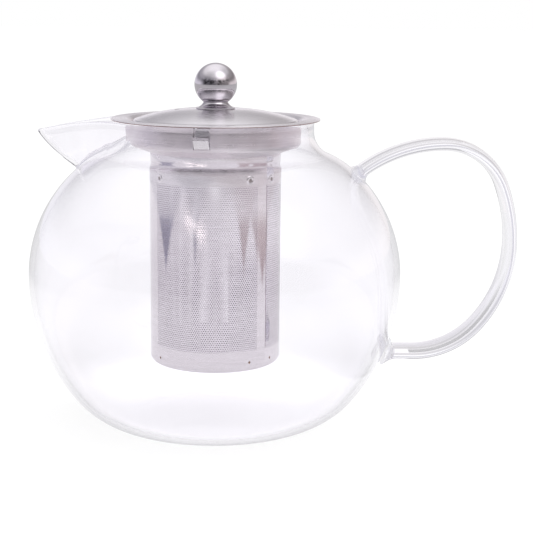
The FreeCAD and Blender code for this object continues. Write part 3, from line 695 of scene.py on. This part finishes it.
COLLAR = section([
    (45.0, 134.0, 0.2), (36.7, 134.0, 2.6), (36.7, 123.0, 2.6), (28.0, 119.0, 1.2), (28.0, 110.5, 0.1),
    (27.5, 110.5, 0.1), (27.5, 119.5, 1.6), (36.2, 123.5, 2.2), (36.2, 134.5, 3.1), (45.0, 134.5, 0.2)])
TONGUE_TURNS = [math.radians(-6.7 + 120.0 * i) for i in range(3)]
TONGUE_WIDTH, WINDOW_HALF, WINDOW_SILL, WINDOW_SPRING, WINDOW_RISE = 6.3, 3.5, 124.0, 131.1, 1.75
TONGUE = section([
    (35.2, 123.2, 0), (35.7, 123.2, 0), (39.5, 128.6, 0.7), (38.5, 129.7, 0.15),
    (38.0, 129.6, 0.15), (38.9, 128.6, 0.3), (35.2, 124.0, 0)], 4)


def around_front(turn):
    """Places (outwards, up, sideways) at a turn from the front of the pot."""
    sin, cos = math.sin(turn), math.cos(turn)
    return lambda out, up, aside: (out * sin + aside * cos, -out * cos + aside * sin, up)


def tongue_window(turn):
    arch = [(WINDOW_HALF * math.cos(math.radians(a)), WINDOW_SPRING + WINDOW_RISE * math.sin(math.radians(a)))
            for a in range(0, 181, 15)]
    outline = [(-WINDOW_HALF, WINDOW_SILL), (WINDOW_HALF, WINDOW_SILL)] + arch
    spot = around_front(turn)
    return prism("window", outline, 33.0, 42.0, lambda u, v, w: spot(w, v, u))


def spun_group():
    """The fine rings that a spun and brushed surface shows, from 0 to 1, about the pot's axis."""
    group = bpy.data.node_groups.new("spun_rings", "ShaderNodeTree")
    for name in ("Across", "Along"):
        group.interface.new_socket(name, in_out="INPUT", socket_type="NodeSocketFloat")
    group.interface.new_socket("Rings", in_out="OUTPUT", socket_type="NodeSocketFloat")
    given = add_node(group, "NodeGroupInput").outputs
    place = object_place(group)
    x, y, z = parts(group, place)
    radius = calc(group, "SQRT", calc(group, "ADD", product(group, x, x), product(group, y, y)))
    safe = calc(group, "MAXIMUM", radius, 0.0005)
    flow = add_node(group, "ShaderNodeCombineXYZ", {
        0: product(group, calc(group, "DIVIDE", x, safe), given["Along"]),
        1: product(group, calc(group, "DIVIDE", y, safe), given["Along"]),
        2: product(group, radius, given["Across"])}).outputs[0]
    lines = add_node(group, "ShaderNodeTexNoise", {
        "Vector": flow, "W": product(group, z, given["Across"]), "Scale": 1.0, "Detail": 3.0,
        "Roughness": 0.65}, noise_dimensions="4D").outputs["Fac"]
    add_node(group, "NodeGroupOutput", {"Rings": remap(group, lines, 0.28, 0.72, 0.0, 1.0, "LINEAR")})
    return group


spun_rings = spun_group()


def steel(name, light, dark, smooth, rough, rings=2600.0, along=1.3, depth=0.04, marks_size=45.0,
          waves=0.0, grain=0.0, tints_and_shade=()):
    """Stainless steel whose colour, gloss and relief follow its brushing, with faint handling marks.

    Waves is how far a thin sheet bulges, in metres. Grain is how much further the brushing spreads a reflection
    across its rings than along them. Tints and shade are pairs of a mask and the colour that it lays on; some
    of them are painted shade."""
    made, tree = new_material(name)
    lines = add_node(
        tree, "ShaderNodeGroup", {"Across": rings, "Along": along}, node_tree=spun_rings).outputs["Rings"]
    marks = add_node(tree, "ShaderNodeGroup", {"Size": marks_size}, node_tree=smudges).outputs["Marks"]
    place = object_place(tree)
    colour = mix_colours(tree, lines, dark, light)
    # Tints of the steel and painted shade, each laid on by its mask.
    for mask, laid_colour in tints_and_shade:
        colour = mix_colours(tree, mask(tree, place), colour, laid_colour, "MULTIPLY")
    gloss = remap(tree, lines, 0.0, 1.0, rough, smooth, "LINEAR")
    gloss = calc(tree, "ADD", gloss, product(tree, marks, smooth * 0.3))
    skin = link(tree, "ShaderNodeBump", {"Height": lines, "Strength": depth, "Distance": 0.0002})
    if waves:
        stretched = link(tree, "ShaderNodeVectorMath", {0: place, 1: (120.0, 120.0, 6.0)}, operation="MULTIPLY")
        bulge = noise(tree, stretched, 1.0, 1.0)
        skin = link(tree, "ShaderNodeBump", {"Height": bulge, "Strength": 1.0, "Distance": waves, "Normal": skin})
    metal = add_node(tree, "ShaderNodeBsdfPrincipled", {
        "Base Color": colour, "Metallic": 1.0, "Roughness": gloss, "Normal": skin})
    if grain:
        metal.inputs["Anisotropic"].default_value = grain
        metal.inputs["Anisotropic Rotation"].default_value = 0.25
        around = add_node(tree, "ShaderNodeTangent", direction_type="RADIAL", axis="Z")
        tree.links.new(around.outputs[0], metal.inputs["Tangent"])
    add_node(tree, "ShaderNodeOutputMaterial", {"Surface": metal.outputs[0]})
    return made


def axis_distance(tree, place):
    flat = add_node(tree, "ShaderNodeVectorMath", {0: place, 1: (1.0, 1.0, 0.0)}, operation="MULTIPLY").outputs[0]
    return add_node(tree, "ShaderNodeVectorMath", {0: flat}, operation="LENGTH").outputs["Value"]


# Below the flange's top the collar is tinted slightly darker and warmer.
def under_flange(tree, place):
    height = parts(tree, place)[2]
    return remap(tree, height, 0.1330, 0.1337, 1.0, 0.0)


# Painted shade: a thin dark reddish line round the flange's outer lower edge, where the gap under it lies in shadow.
def flange_shade_line(tree, place):
    height = parts(tree, place)[2]
    edge = remap(tree, axis_distance(tree, place), 0.0444, 0.0449)
    return product(tree, edge, remap(tree, height, 0.1342, 0.1344, 1.0, 0.0))


# Collar tints: slightly darker and warmer below the flange's top, and a painted line of shade along the flange's
# lower edge.
BELOW_FLANGE_TINT, FLANGE_EDGE_SHADE = (0.99, 0.955, 0.955, 1.0), (0.45, 0.27, 0.25, 1.0)
satin_collar = steel("satin_collar", (0.87, 0.84, 0.875, 1.0), (0.74, 0.71, 0.745, 1.0), 0.22, 0.34,
                     grain=0.85, tints_and_shade=[(under_flange, BELOW_FLANGE_TINT), (flange_shade_line, FLANGE_EDGE_SHADE)])
# Painted light: the tongues are lanced from the collar's own sheet but get a lighter copy of its steel, for their
# lower faces that mirror the bright table.
lit_tongue_steel = steel("lit_tongue_steel", (0.88, 0.85, 0.86, 1.0), (0.80, 0.77, 0.78, 1.0), 0.2, 0.3, depth=0.02)
collar_mesh = lathe("infuser_collar_cup", COLLAR, 180)
for turn in TONGUE_TURNS:
    collar_mesh = combine(collar_mesh, tongue_window(turn), "DIFFERENCE")
tongue_meshes = []
for turn in TONGUE_TURNS:
    tongue_meshes.append(prism("tongue", TONGUE, -TONGUE_WIDTH / 2, TONGUE_WIDTH / 2, around_front(turn)))
add_piece("infuser_collar_cup", collar_mesh, satin_collar, "infuser", "satin_steel", "infuser_collar", sharp=35)
add_piece("collar_tongues", join("collar_tongues", tongue_meshes), lit_tongue_steel, "infuser", "satin_steel",
          "infuser_collar", sharp=35)


# Infuser basket: a sheet of bright stainless steel, 0.3 mm thick, etched with thousands of fine holes in three
# fields, rolled up and lapped in one seam. Spot welds hold it to the collar above and to its base below.

BASKET_RADIUS, BASKET_SHEET = 28.3, 0.3
BASKET_FOOT, BASKET_TOP = 30.5, 119.0
FIELD_FOOT, FIELD_TOP = 37.2, 108.5
FIELDS = [(-58.0, 40.5), (50.0, 154.0), (170.0, 273.0)]
HOLE_PITCH, HOLE_RADIUS = 0.98, 0.25
FIELD_ROWS = [84, 77, 77]
HOLES_UNDER, TILE_MERGE = 1.6, 0.00001
LAP_MIDDLE, LAP_WIDTH = 45.5, 4.6
FRAME_PROUD = 0.02


def hole_tile(tall):
    """One tile of the sheet with a six-sided hole, flat, its corner at the origin."""
    wide = HOLE_PITCH
    middle = Vector((wide / 2, tall / 2))
    hole = [middle + HOLE_RADIUS * Vector((math.cos(math.radians(a)), math.sin(math.radians(a))))
            for a in range(30, 390, 60)]
    edge = [Vector(p) for p in ((wide, tall), (wide / 2, tall), (0, tall), (0, 0), (wide / 2, 0), (wide, 0))]
    layers = []
    for depth in (0.0, -BASKET_SHEET):
        layers += [(p.x, p.y, depth) for p in edge] + [(p.x, p.y, depth) for p in hole]
    faces = []
    for i in range(6):
        j = (i + 1) % 6
        faces.append((i, j, 6 + j, 6 + i))
        faces.append((12 + i, 18 + i, 18 + j, 12 + j))
        faces.append((6 + i, 6 + j, 18 + j, 18 + i))
    return new_mesh("hole_tile", layers, faces)


def tile_tree(name, *sizes):
    """A node tree that takes a tile, its numbers of columns and rows, sizes and a finish."""
    tree = bpy.data.node_groups.new(name, "GeometryNodeTree")
    kinds = {"Geometry": "Geometry", "Columns": "Int", "Rows": "Int", "Finish": "Material"}
    for label in ("Geometry", "Columns", "Rows", "Pitch", "Row Height", *sizes, "Finish"):
        tree.interface.new_socket(label, in_out="INPUT", socket_type="NodeSocket" + kinds.get(label, "Float"))
    tree.interface.new_socket("Geometry", in_out="OUTPUT", socket_type="NodeSocketGeometry")
    return tree, add_node(tree, "NodeGroupInput").outputs


def staggered(tree, given):
    """Column and row of each tile, with every second row shifted by half a tile."""
    index = link(tree, "GeometryNodeInputIndex")
    row = calc(tree, "FLOOR", calc(tree, "DIVIDE", calc(tree, "ADD", index, 0.5), given["Columns"]))
    column = calc(tree, "SUBTRACT", index, product(tree, row, given["Columns"]))
    return calc(tree, "ADD", column, product(tree, calc(tree, "MODULO", row, 2.0), 0.5)), row


def tile_points(tree, given, column, row, height=0.0):
    spot = link(tree, "ShaderNodeCombineXYZ", {
        0: product(tree, column, given["Pitch"]), 1: product(tree, row, given["Row Height"]), 2: height})
    count = product(tree, given["Columns"], given["Rows"])
    return link(tree, "GeometryNodePoints", {"Count": count, "Position": spot})


def laid_tiles(tree, given, points):
    """One sheet from a tile on each point, merged where the tiles meet."""
    tiles = link(tree, "GeometryNodeInstanceOnPoints", {"Points": points, "Instance": given["Geometry"]})
    sheet = link(tree, "GeometryNodeRealizeInstances", {"Geometry": tiles})
    return link(tree, "GeometryNodeMergeByDistance", {"Geometry": sheet, "Distance": TILE_MERGE})


def finished_tree(tree, given, sheet):
    sheet = link(tree, "GeometryNodeSetMaterial", {"Geometry": sheet, "Material": given["Finish"]})
    add_node(tree, "NodeGroupOutput", {"Geometry": sheet})
    return tree


def etched_sheet_tree():
    """Sets the tile out in staggered rows and rolls the sheet round the pot's axis."""
    tree, given = tile_tree("etched_sheet", "Radius", "Start", "Foot")
    sheet = laid_tiles(tree, given, tile_points(tree, given, *staggered(tree, given)))
    along, up, out = parts(tree, link(tree, "GeometryNodeInputPosition"))
    angle = calc(tree, "ADD", given["Start"], calc(tree, "DIVIDE", along, given["Radius"]))
    reach = calc(tree, "ADD", given["Radius"], out)
    rolled = link(tree, "ShaderNodeCombineXYZ", {
        0: product(tree, reach, calc(tree, "SINE", angle)),
        1: product(tree, reach, product(tree, calc(tree, "COSINE", angle), -1.0)),
        2: calc(tree, "ADD", up, given["Foot"])})
    return finished_tree(tree, given, link(
        tree, "GeometryNodeSetPosition", {"Geometry": sheet, "Position": rolled}))


def run_tree(name, mesh, tree, values):
    """Runs a node tree on a mesh and gives the result as a plain mesh."""
    maker = bpy.data.objects.new(name, mesh)
    scene.collection.objects.link(maker)
    step = maker.modifiers.new(name, "NODES")
    step.node_group = tree
    sockets = {s.name: s.identifier for s in tree.interface.items_tree if s.in_out == "INPUT"}
    for key, value in values.items():
        step[sockets[key]] = value
    result = bpy.data.meshes.new_from_object(maker.evaluated_get(bpy.context.evaluated_depsgraph_get()))
    bpy.data.objects.remove(maker)
    result.name = name
    return result


def close_rim(mesh):
    """Joins the two skins of an etched sheet along its cut edge."""
    builder = bmesh.new()
    builder.from_mesh(mesh)
    bmesh.ops.bridge_loops(builder, edges=[e for e in builder.edges if e.is_boundary])
    builder.to_mesh(mesh)
    builder.free()
    face_outwards(mesh)


def bent_plate(name, first, last, low_edge, high_edge, outer, inner, rise=0.0):
    """A plain stretch of the rolled sheet between two angles from the front; it may rise along its way."""
    steps = max(2, round((last - first) / 2.5))
    outline = [(math.radians(first + (last - first) * i / steps), outer + rise * i / steps) for i in range(steps + 1)]
    outline += [(math.radians(first + (last - first) * i / steps), inner) for i in range(steps, -1, -1)]
    outline = [(r * math.sin(a), -r * math.cos(a)) for a, r in outline]
    count = len(outline)
    points = [(x, y, z) for z in (low_edge, high_edge) for x, y in outline]
    faces = [(i, i + count, (i + 1) % count + count, (i + 1) % count) for i in range(count)]
    half = count // 2
    for base in (0, count):
        for i in range(half - 1):
            faces.append((base + i, base + i + 1, base + count - 2 - i, base + count - 1 - i))
    mesh = new_mesh(name, points, faces)
    face_outwards(mesh)
    return mesh


def seam_shade_line(tree, place):
    """A painted line of shade along the free edge of the lap, where its edge shadows the sheet beside it."""
    x, y, _ = parts(tree, place)
    turn = calc(tree, "ARCTAN2", x, product(tree, y, -1.0))
    line = calc(tree, "ABSOLUTE", calc(tree, "SUBTRACT", turn, math.radians(SEAM_EDGE)))
    return remap(tree, line, 0.008, 0.024, 1.0, 0.0)


# The lap's free edge, and the colour of the painted shade along it.
SEAM_EDGE, SEAM_SHADE = 50.6, (0.40, 0.33, 0.34, 1.0)
etched_steel = steel("etched_steel", (0.84, 0.79, 0.84, 1.0), (0.74, 0.69, 0.74, 1.0), 0.05, 0.09, 900.0, 3.0, 0.02,
                     waves=0.0002, tints_and_shade=[(seam_shade_line, SEAM_SHADE)])
bright_sheet = steel("bright_sheet", (0.83, 0.785, 0.82, 1.0), (0.75, 0.705, 0.74, 1.0), 0.06, 0.1, 900.0, 3.0, 0.02,
                     waves=0.0002)
sheet_tree = etched_sheet_tree()
field_tall = FIELD_TOP - FIELD_FOOT
for number, (first, last) in enumerate(FIELDS, start=1):
    rows = FIELD_ROWS[number - 1]
    first, last = first - HOLES_UNDER, last + HOLES_UNDER
    columns = round(math.radians(last - first) * BASKET_RADIUS / HOLE_PITCH)
    field = run_tree(f"basket_field_{number}", hole_tile(field_tall / rows), sheet_tree, {
        "Columns": columns, "Rows": rows, "Pitch": HOLE_PITCH * MM, "Row Height": field_tall / rows * MM,
        "Radius": BASKET_RADIUS * MM, "Start": math.radians(first), "Foot": FIELD_FOOT * MM, "Finish": etched_steel})
    close_rim(field)
    add_piece(f"basket_field_{number}", field, None, "infuser", "etched_steel", "infuser_basket", sharp=40)

outer, inner = BASKET_RADIUS + FRAME_PROUD, BASKET_RADIUS - BASKET_SHEET - FRAME_PROUD
band_outlines = [(BASKET_FOOT, FIELD_FOOT + 0.5), (FIELD_TOP - 0.5, BASKET_TOP)]
basket_plates = []
for low_edge, high_edge in band_outlines:
    corners = [(outer, low_edge), (outer, high_edge), (inner, high_edge), (inner, low_edge)]
    basket_plates.append(lathe("band", section([(r, z, 0.05) for r, z in corners], 2), 144))
for (first, last), (following, _) in zip(FIELDS, FIELDS[1:] + [(FIELDS[0][0] + 360.0, 0.0)]):
    basket_plates.append(bent_plate("strip", last, following, FIELD_FOOT, FIELD_TOP + 0.5,
                                    outer + 0.01, inner - 0.01))
lap_half = math.degrees(LAP_WIDTH / 2 / BASKET_RADIUS)
basket_plates.append(bent_plate("lap", LAP_MIDDLE - lap_half, LAP_MIDDLE + lap_half, BASKET_FOOT, BASKET_TOP - 0.2,
                                outer + 0.03, inner, BASKET_SHEET - 0.05))
add_piece("basket_frame", join("basket_frame", basket_plates), bright_sheet, "infuser", "etched_steel",
          "infuser_basket", sharp=20)

# Spot welds: four round the basket and one more beside the seam, at its top and again at its foot.
WELD_TURNS = [(4, -54.0, 87.0), (1, 58.0, 0.0)]
WELD_TOP, WELD_FOOT = 110.8, 32.6
WELD_RING = [(0.75, 0.02), (1.1, 0.17), (1.5, 0.19), (1.95, 0.06), (2.1, -0.05), (0.75, -0.05), (0.75, 0.02)]
WELD_PIT = [(0.0, 0.05), (0.45, 0.05), (0.8, 0.09), (0.0, -0.05)]
WELD_DOT = [(0.0, 0.06), (0.4, 0.05), (0.6, -0.03), (0.0, -0.05)]
WELD_SEGMENTS = 18
weld_burn = steel("weld_burn", (0.34, 0.27, 0.27, 1.0), (0.2, 0.16, 0.17, 1.0), 0.3, 0.5, 900.0, 9.0)
weld_rust = steel("weld_rust", (0.42, 0.24, 0.14, 1.0), (0.26, 0.14, 0.08, 1.0), 0.5, 0.7, 900.0, 9.0)
for name, outline, height, finish in (("weld_rings", WELD_RING, WELD_TOP, bright_sheet),
                                      ("weld_pits", WELD_PIT, WELD_TOP, weld_burn),
                                      ("weld_dots", WELD_DOT, WELD_FOOT, weld_rust)):
    marks = []
    flat_mark = ring_mesh(name, turned_rows(outline, WELD_SEGMENTS))
    for count, first, step in WELD_TURNS:
        marks.append(run_tree(name, flat_mark, sheet_tree, {
            "Columns": count, "Rows": 1, "Pitch": math.radians(step) * BASKET_RADIUS * MM, "Row Height": 0.0,
            "Radius": (BASKET_RADIUS + FRAME_PROUD) * MM, "Start": math.radians(first), "Foot": height * MM,
            "Finish": finish}))
    marks = join(name, marks)
    face_outwards(marks)
    add_piece(name, marks, finish, "infuser", "etched_steel", "infuser_basket", sharp=60)


# Infuser base: a shallow cup pressed from the same etched sheet, pushed into the basket's lower end and
# spot-welded there. Its floor has the same fine holes as the basket's wall.

FLOOR_EDGE, FLOOR_TILES, FLOOR_LOW, FLOOR_HIGH = 23.0, 24.3, 28.5, 28.8
BASE_CUP = section([
    (FLOOR_EDGE, FLOOR_LOW, 0), (28.0, FLOOR_LOW, 2.0), (28.0, 36.5, 0.1), (27.7, 36.5, 0.1),
    (27.7, FLOOR_HIGH, 1.7), (FLOOR_EDGE, FLOOR_HIGH, 0)])


def etched_floor_tree():
    """Sets the tile out in staggered rows over a round floor."""
    tree, given = tile_tree("etched_floor", "Reach", "Height")
    column, row = staggered(tree, given)
    column = calc(tree, "SUBTRACT", column, calc(tree, "DIVIDE", given["Columns"], 2.0))
    row = calc(tree, "SUBTRACT", row, calc(tree, "DIVIDE", given["Rows"], 2.0))
    points = tile_points(tree, given, column, row, given["Height"])
    place = link(tree, "GeometryNodeInputPosition")
    beyond = calc(tree, "GREATER_THAN", axis_distance(tree, place), given["Reach"])
    points = link(tree, "GeometryNodeDeleteGeometry", {"Geometry": points, "Selection": beyond}, domain="POINT")
    return finished_tree(tree, given, laid_tiles(tree, given, points))


row_height = HOLE_PITCH * math.sqrt(0.75)
floor_mesh = run_tree("base_floor", hole_tile(row_height), etched_floor_tree(), {
    "Columns": round(2 * FLOOR_TILES / HOLE_PITCH), "Rows": round(2 * FLOOR_TILES / row_height),
    "Pitch": HOLE_PITCH * MM, "Row Height": row_height * MM, "Reach": (FLOOR_TILES - 0.7) * MM,
    "Height": (FLOOR_HIGH - 0.01) * MM, "Finish": etched_steel})
close_rim(floor_mesh)
add_piece("base_floor", floor_mesh, None, "infuser", "etched_steel", "infuser_base", sharp=40)
add_piece("infuser_base_cup", lathe("infuser_base_cup", BASE_CUP, 144), bright_sheet, "infuser", "etched_steel",
          "infuser_base", sharp=20)


# Lid: a dome pressed from 0.6 mm stainless steel and satin brushed in rings, with a skirt that stands in the
# collar's well and a small drilled steam vent.

LID_EDGE, LID_RIM, LID_SEAT, SEAT_EDGE = 35.7, 133.7, 138.5, 9.0
LID_SHEET, LID_ROUND, SKIRT_FOOT, SCREW_ROOM = 0.6, 1.4, 123.8, 1.7
VENT_PLACE, VENT_RADIUS = 16.5, 1.2


def dome_points(sink, edge, count=20):
    """The dome's section from its knob seat to its edge, moved down by the sheet where it is the inside."""
    span, rise_here = LID_EDGE - SEAT_EDGE, LID_SEAT - LID_RIM
    radius = (span ** 2 + rise_here ** 2) / (2 * rise_here)
    centre = LID_SEAT - radius
    bend = radius - sink
    return [(r, centre + math.sqrt(bend ** 2 - (r - SEAT_EDGE) ** 2))
            for r in (SEAT_EDGE + (edge - SEAT_EDGE) * i / count for i in range(count + 1))]


def edge_turn(edge, height, bend, count=8):
    """The round edge between the dome and the skirt."""
    return [(edge - bend + bend * math.cos(a), height - bend + bend * math.sin(a))
            for a in (math.radians(78.0 * (count - i) / count) for i in range(count + 1))]


outside = dome_points(0.0, LID_EDGE - LID_ROUND)
inside = dome_points(LID_SHEET, LID_EDGE - LID_ROUND)
outside += edge_turn(LID_EDGE, outside[-1][1] + 0.03, LID_ROUND)
inside += edge_turn(LID_EDGE - LID_SHEET, inside[-1][1] + 0.03, LID_ROUND - LID_SHEET)
LID = ([(SCREW_ROOM, LID_SEAT)] + outside + [(LID_EDGE, SKIRT_FOOT), (LID_EDGE - LID_SHEET, SKIRT_FOOT)]
       + inside[::-1] + [(SCREW_ROOM, LID_SEAT - LID_SHEET)])
vent_outline = [(VENT_RADIUS * math.cos(math.radians(a)) - VENT_PLACE, VENT_RADIUS * math.sin(math.radians(a)))
                for a in range(0, 360, 15)]
lid_mesh = lathe("lid_dome", LID, 180)
lid_mesh = combine(lid_mesh, prism("vent", vent_outline, 130.0, 142.0, lambda u, v, w: (u, v, w)), "DIFFERENCE")
satin_lid = steel("satin_lid", (0.79, 0.765, 0.80, 1.0), (0.68, 0.655, 0.69, 1.0), 0.16, 0.26, grain=0.85)
add_piece("lid_dome", lid_mesh, satin_lid, "lid", "satin_steel", "lid_cover", sharp=35)


# Knob: a solid ball and a flared foot, turned from stainless steel and mirror polished. One pan-head screw with
# a washer comes up through the lid and draws them down.

BALL_RADIUS, WAIST, FOOT_RADIUS, FOOT_TOP = 9.15, 5.3, 8.4, 141.5
BALL_BORE, BALL_STEPS = FOOT_TOP + 7.0, 40
BALL_MIDDLE = FOOT_TOP + math.sqrt(BALL_RADIUS ** 2 - WAIST ** 2)
SCREW_RADIUS, SCREW_TIP = 1.5, 147.9
FLARE, FOOT_BRIM = 3.6, 0.7

polished = steel("polished_knob", (0.64, 0.605, 0.65, 1.0), (0.60, 0.565, 0.61, 1.0), 0.03, 0.05,
                 1500.0, 2.0, 0.01, 120.0)
low_turn = math.degrees(math.asin((FOOT_TOP - BALL_MIDDLE) / BALL_RADIUS))
ball = [(SCREW_RADIUS, BALL_BORE), (SCREW_RADIUS, FOOT_TOP + 0.02)]
ball += [(BALL_RADIUS * math.cos(math.radians(a)), BALL_MIDDLE + BALL_RADIUS * math.sin(math.radians(a)))
         for a in (low_turn + (90.0 - low_turn) * i / BALL_STEPS for i in range(BALL_STEPS))]
BALL = [(0.0, BALL_BORE)] + ball + [(0.0, BALL_MIDDLE + BALL_RADIUS)]
add_piece("knob_ball_turned", lathe("knob_ball_turned", BALL, 128), polished, "lid", "polished_steel",
          "knob_ball", sharp=35)

brim, waist = Vector((FOOT_RADIUS, LID_SEAT + FOOT_BRIM)), Vector((WAIST, FOOT_TOP))
half_chord = Vector((WAIST - FOOT_RADIUS, FOOT_TOP - LID_SEAT - FOOT_BRIM)) / 2
outwards = Vector((half_chord.y, -half_chord.x)).normalized()
flare_middle = brim + half_chord + outwards * math.sqrt(FLARE ** 2 - half_chord.length_squared)
flare = arc(flare_middle, brim - flare_middle, waist - flare_middle, 12)
KNOB_FOOT = ([(SCREW_ROOM, LID_SEAT), (FOOT_RADIUS - 0.15, LID_SEAT), (FOOT_RADIUS, LID_SEAT + 0.15)] + flare
             + [(SCREW_ROOM, FOOT_TOP)])
add_piece("knob_foot_turned", lathe("knob_foot_turned", KNOB_FOOT, 96), polished, "lid", "polished_steel",
          "knob_foot", sharp=35)

bright_screw = steel("bright_screw", (0.72, 0.72, 0.72, 1.0), (0.55, 0.55, 0.56, 1.0), 0.2, 0.32, 3000.0, 6.0, 0.05)
WASHER = section([(SCREW_ROOM, 137.1, 0.1), (5.0, 137.1, 0.15), (5.0, 137.9, 0.1), (SCREW_ROOM, 137.9, 0.1)], 3)
add_piece("knob_washer_ring", lathe("knob_washer_ring", WASHER, 64), bright_screw, "lid", "satin_steel",
          "knob_washer", sharp=35)
SCREW = section([(0.0, 134.9, 0), (2.9, 134.9, 1.1), (2.9, 137.1, 0.1), (SCREW_RADIUS, 137.1, 0),
                 (SCREW_RADIUS, SCREW_TIP, 0.3), (0.0, SCREW_TIP, 0)], 5)
slot = prism("slot", [(-0.4, 134.0), (0.4, 134.0), (0.4, 136.0), (-0.4, 136.0)], -4.0, 4.0,
             lambda u, v, w: (w, u, v))
screw_mesh = combine(lathe("knob_screw_turned", SCREW, 64), slot, "DIFFERENCE")
add_piece("knob_screw_turned", screw_mesh, bright_screw, "lid", "satin_steel", "knob_screw", sharp=35)
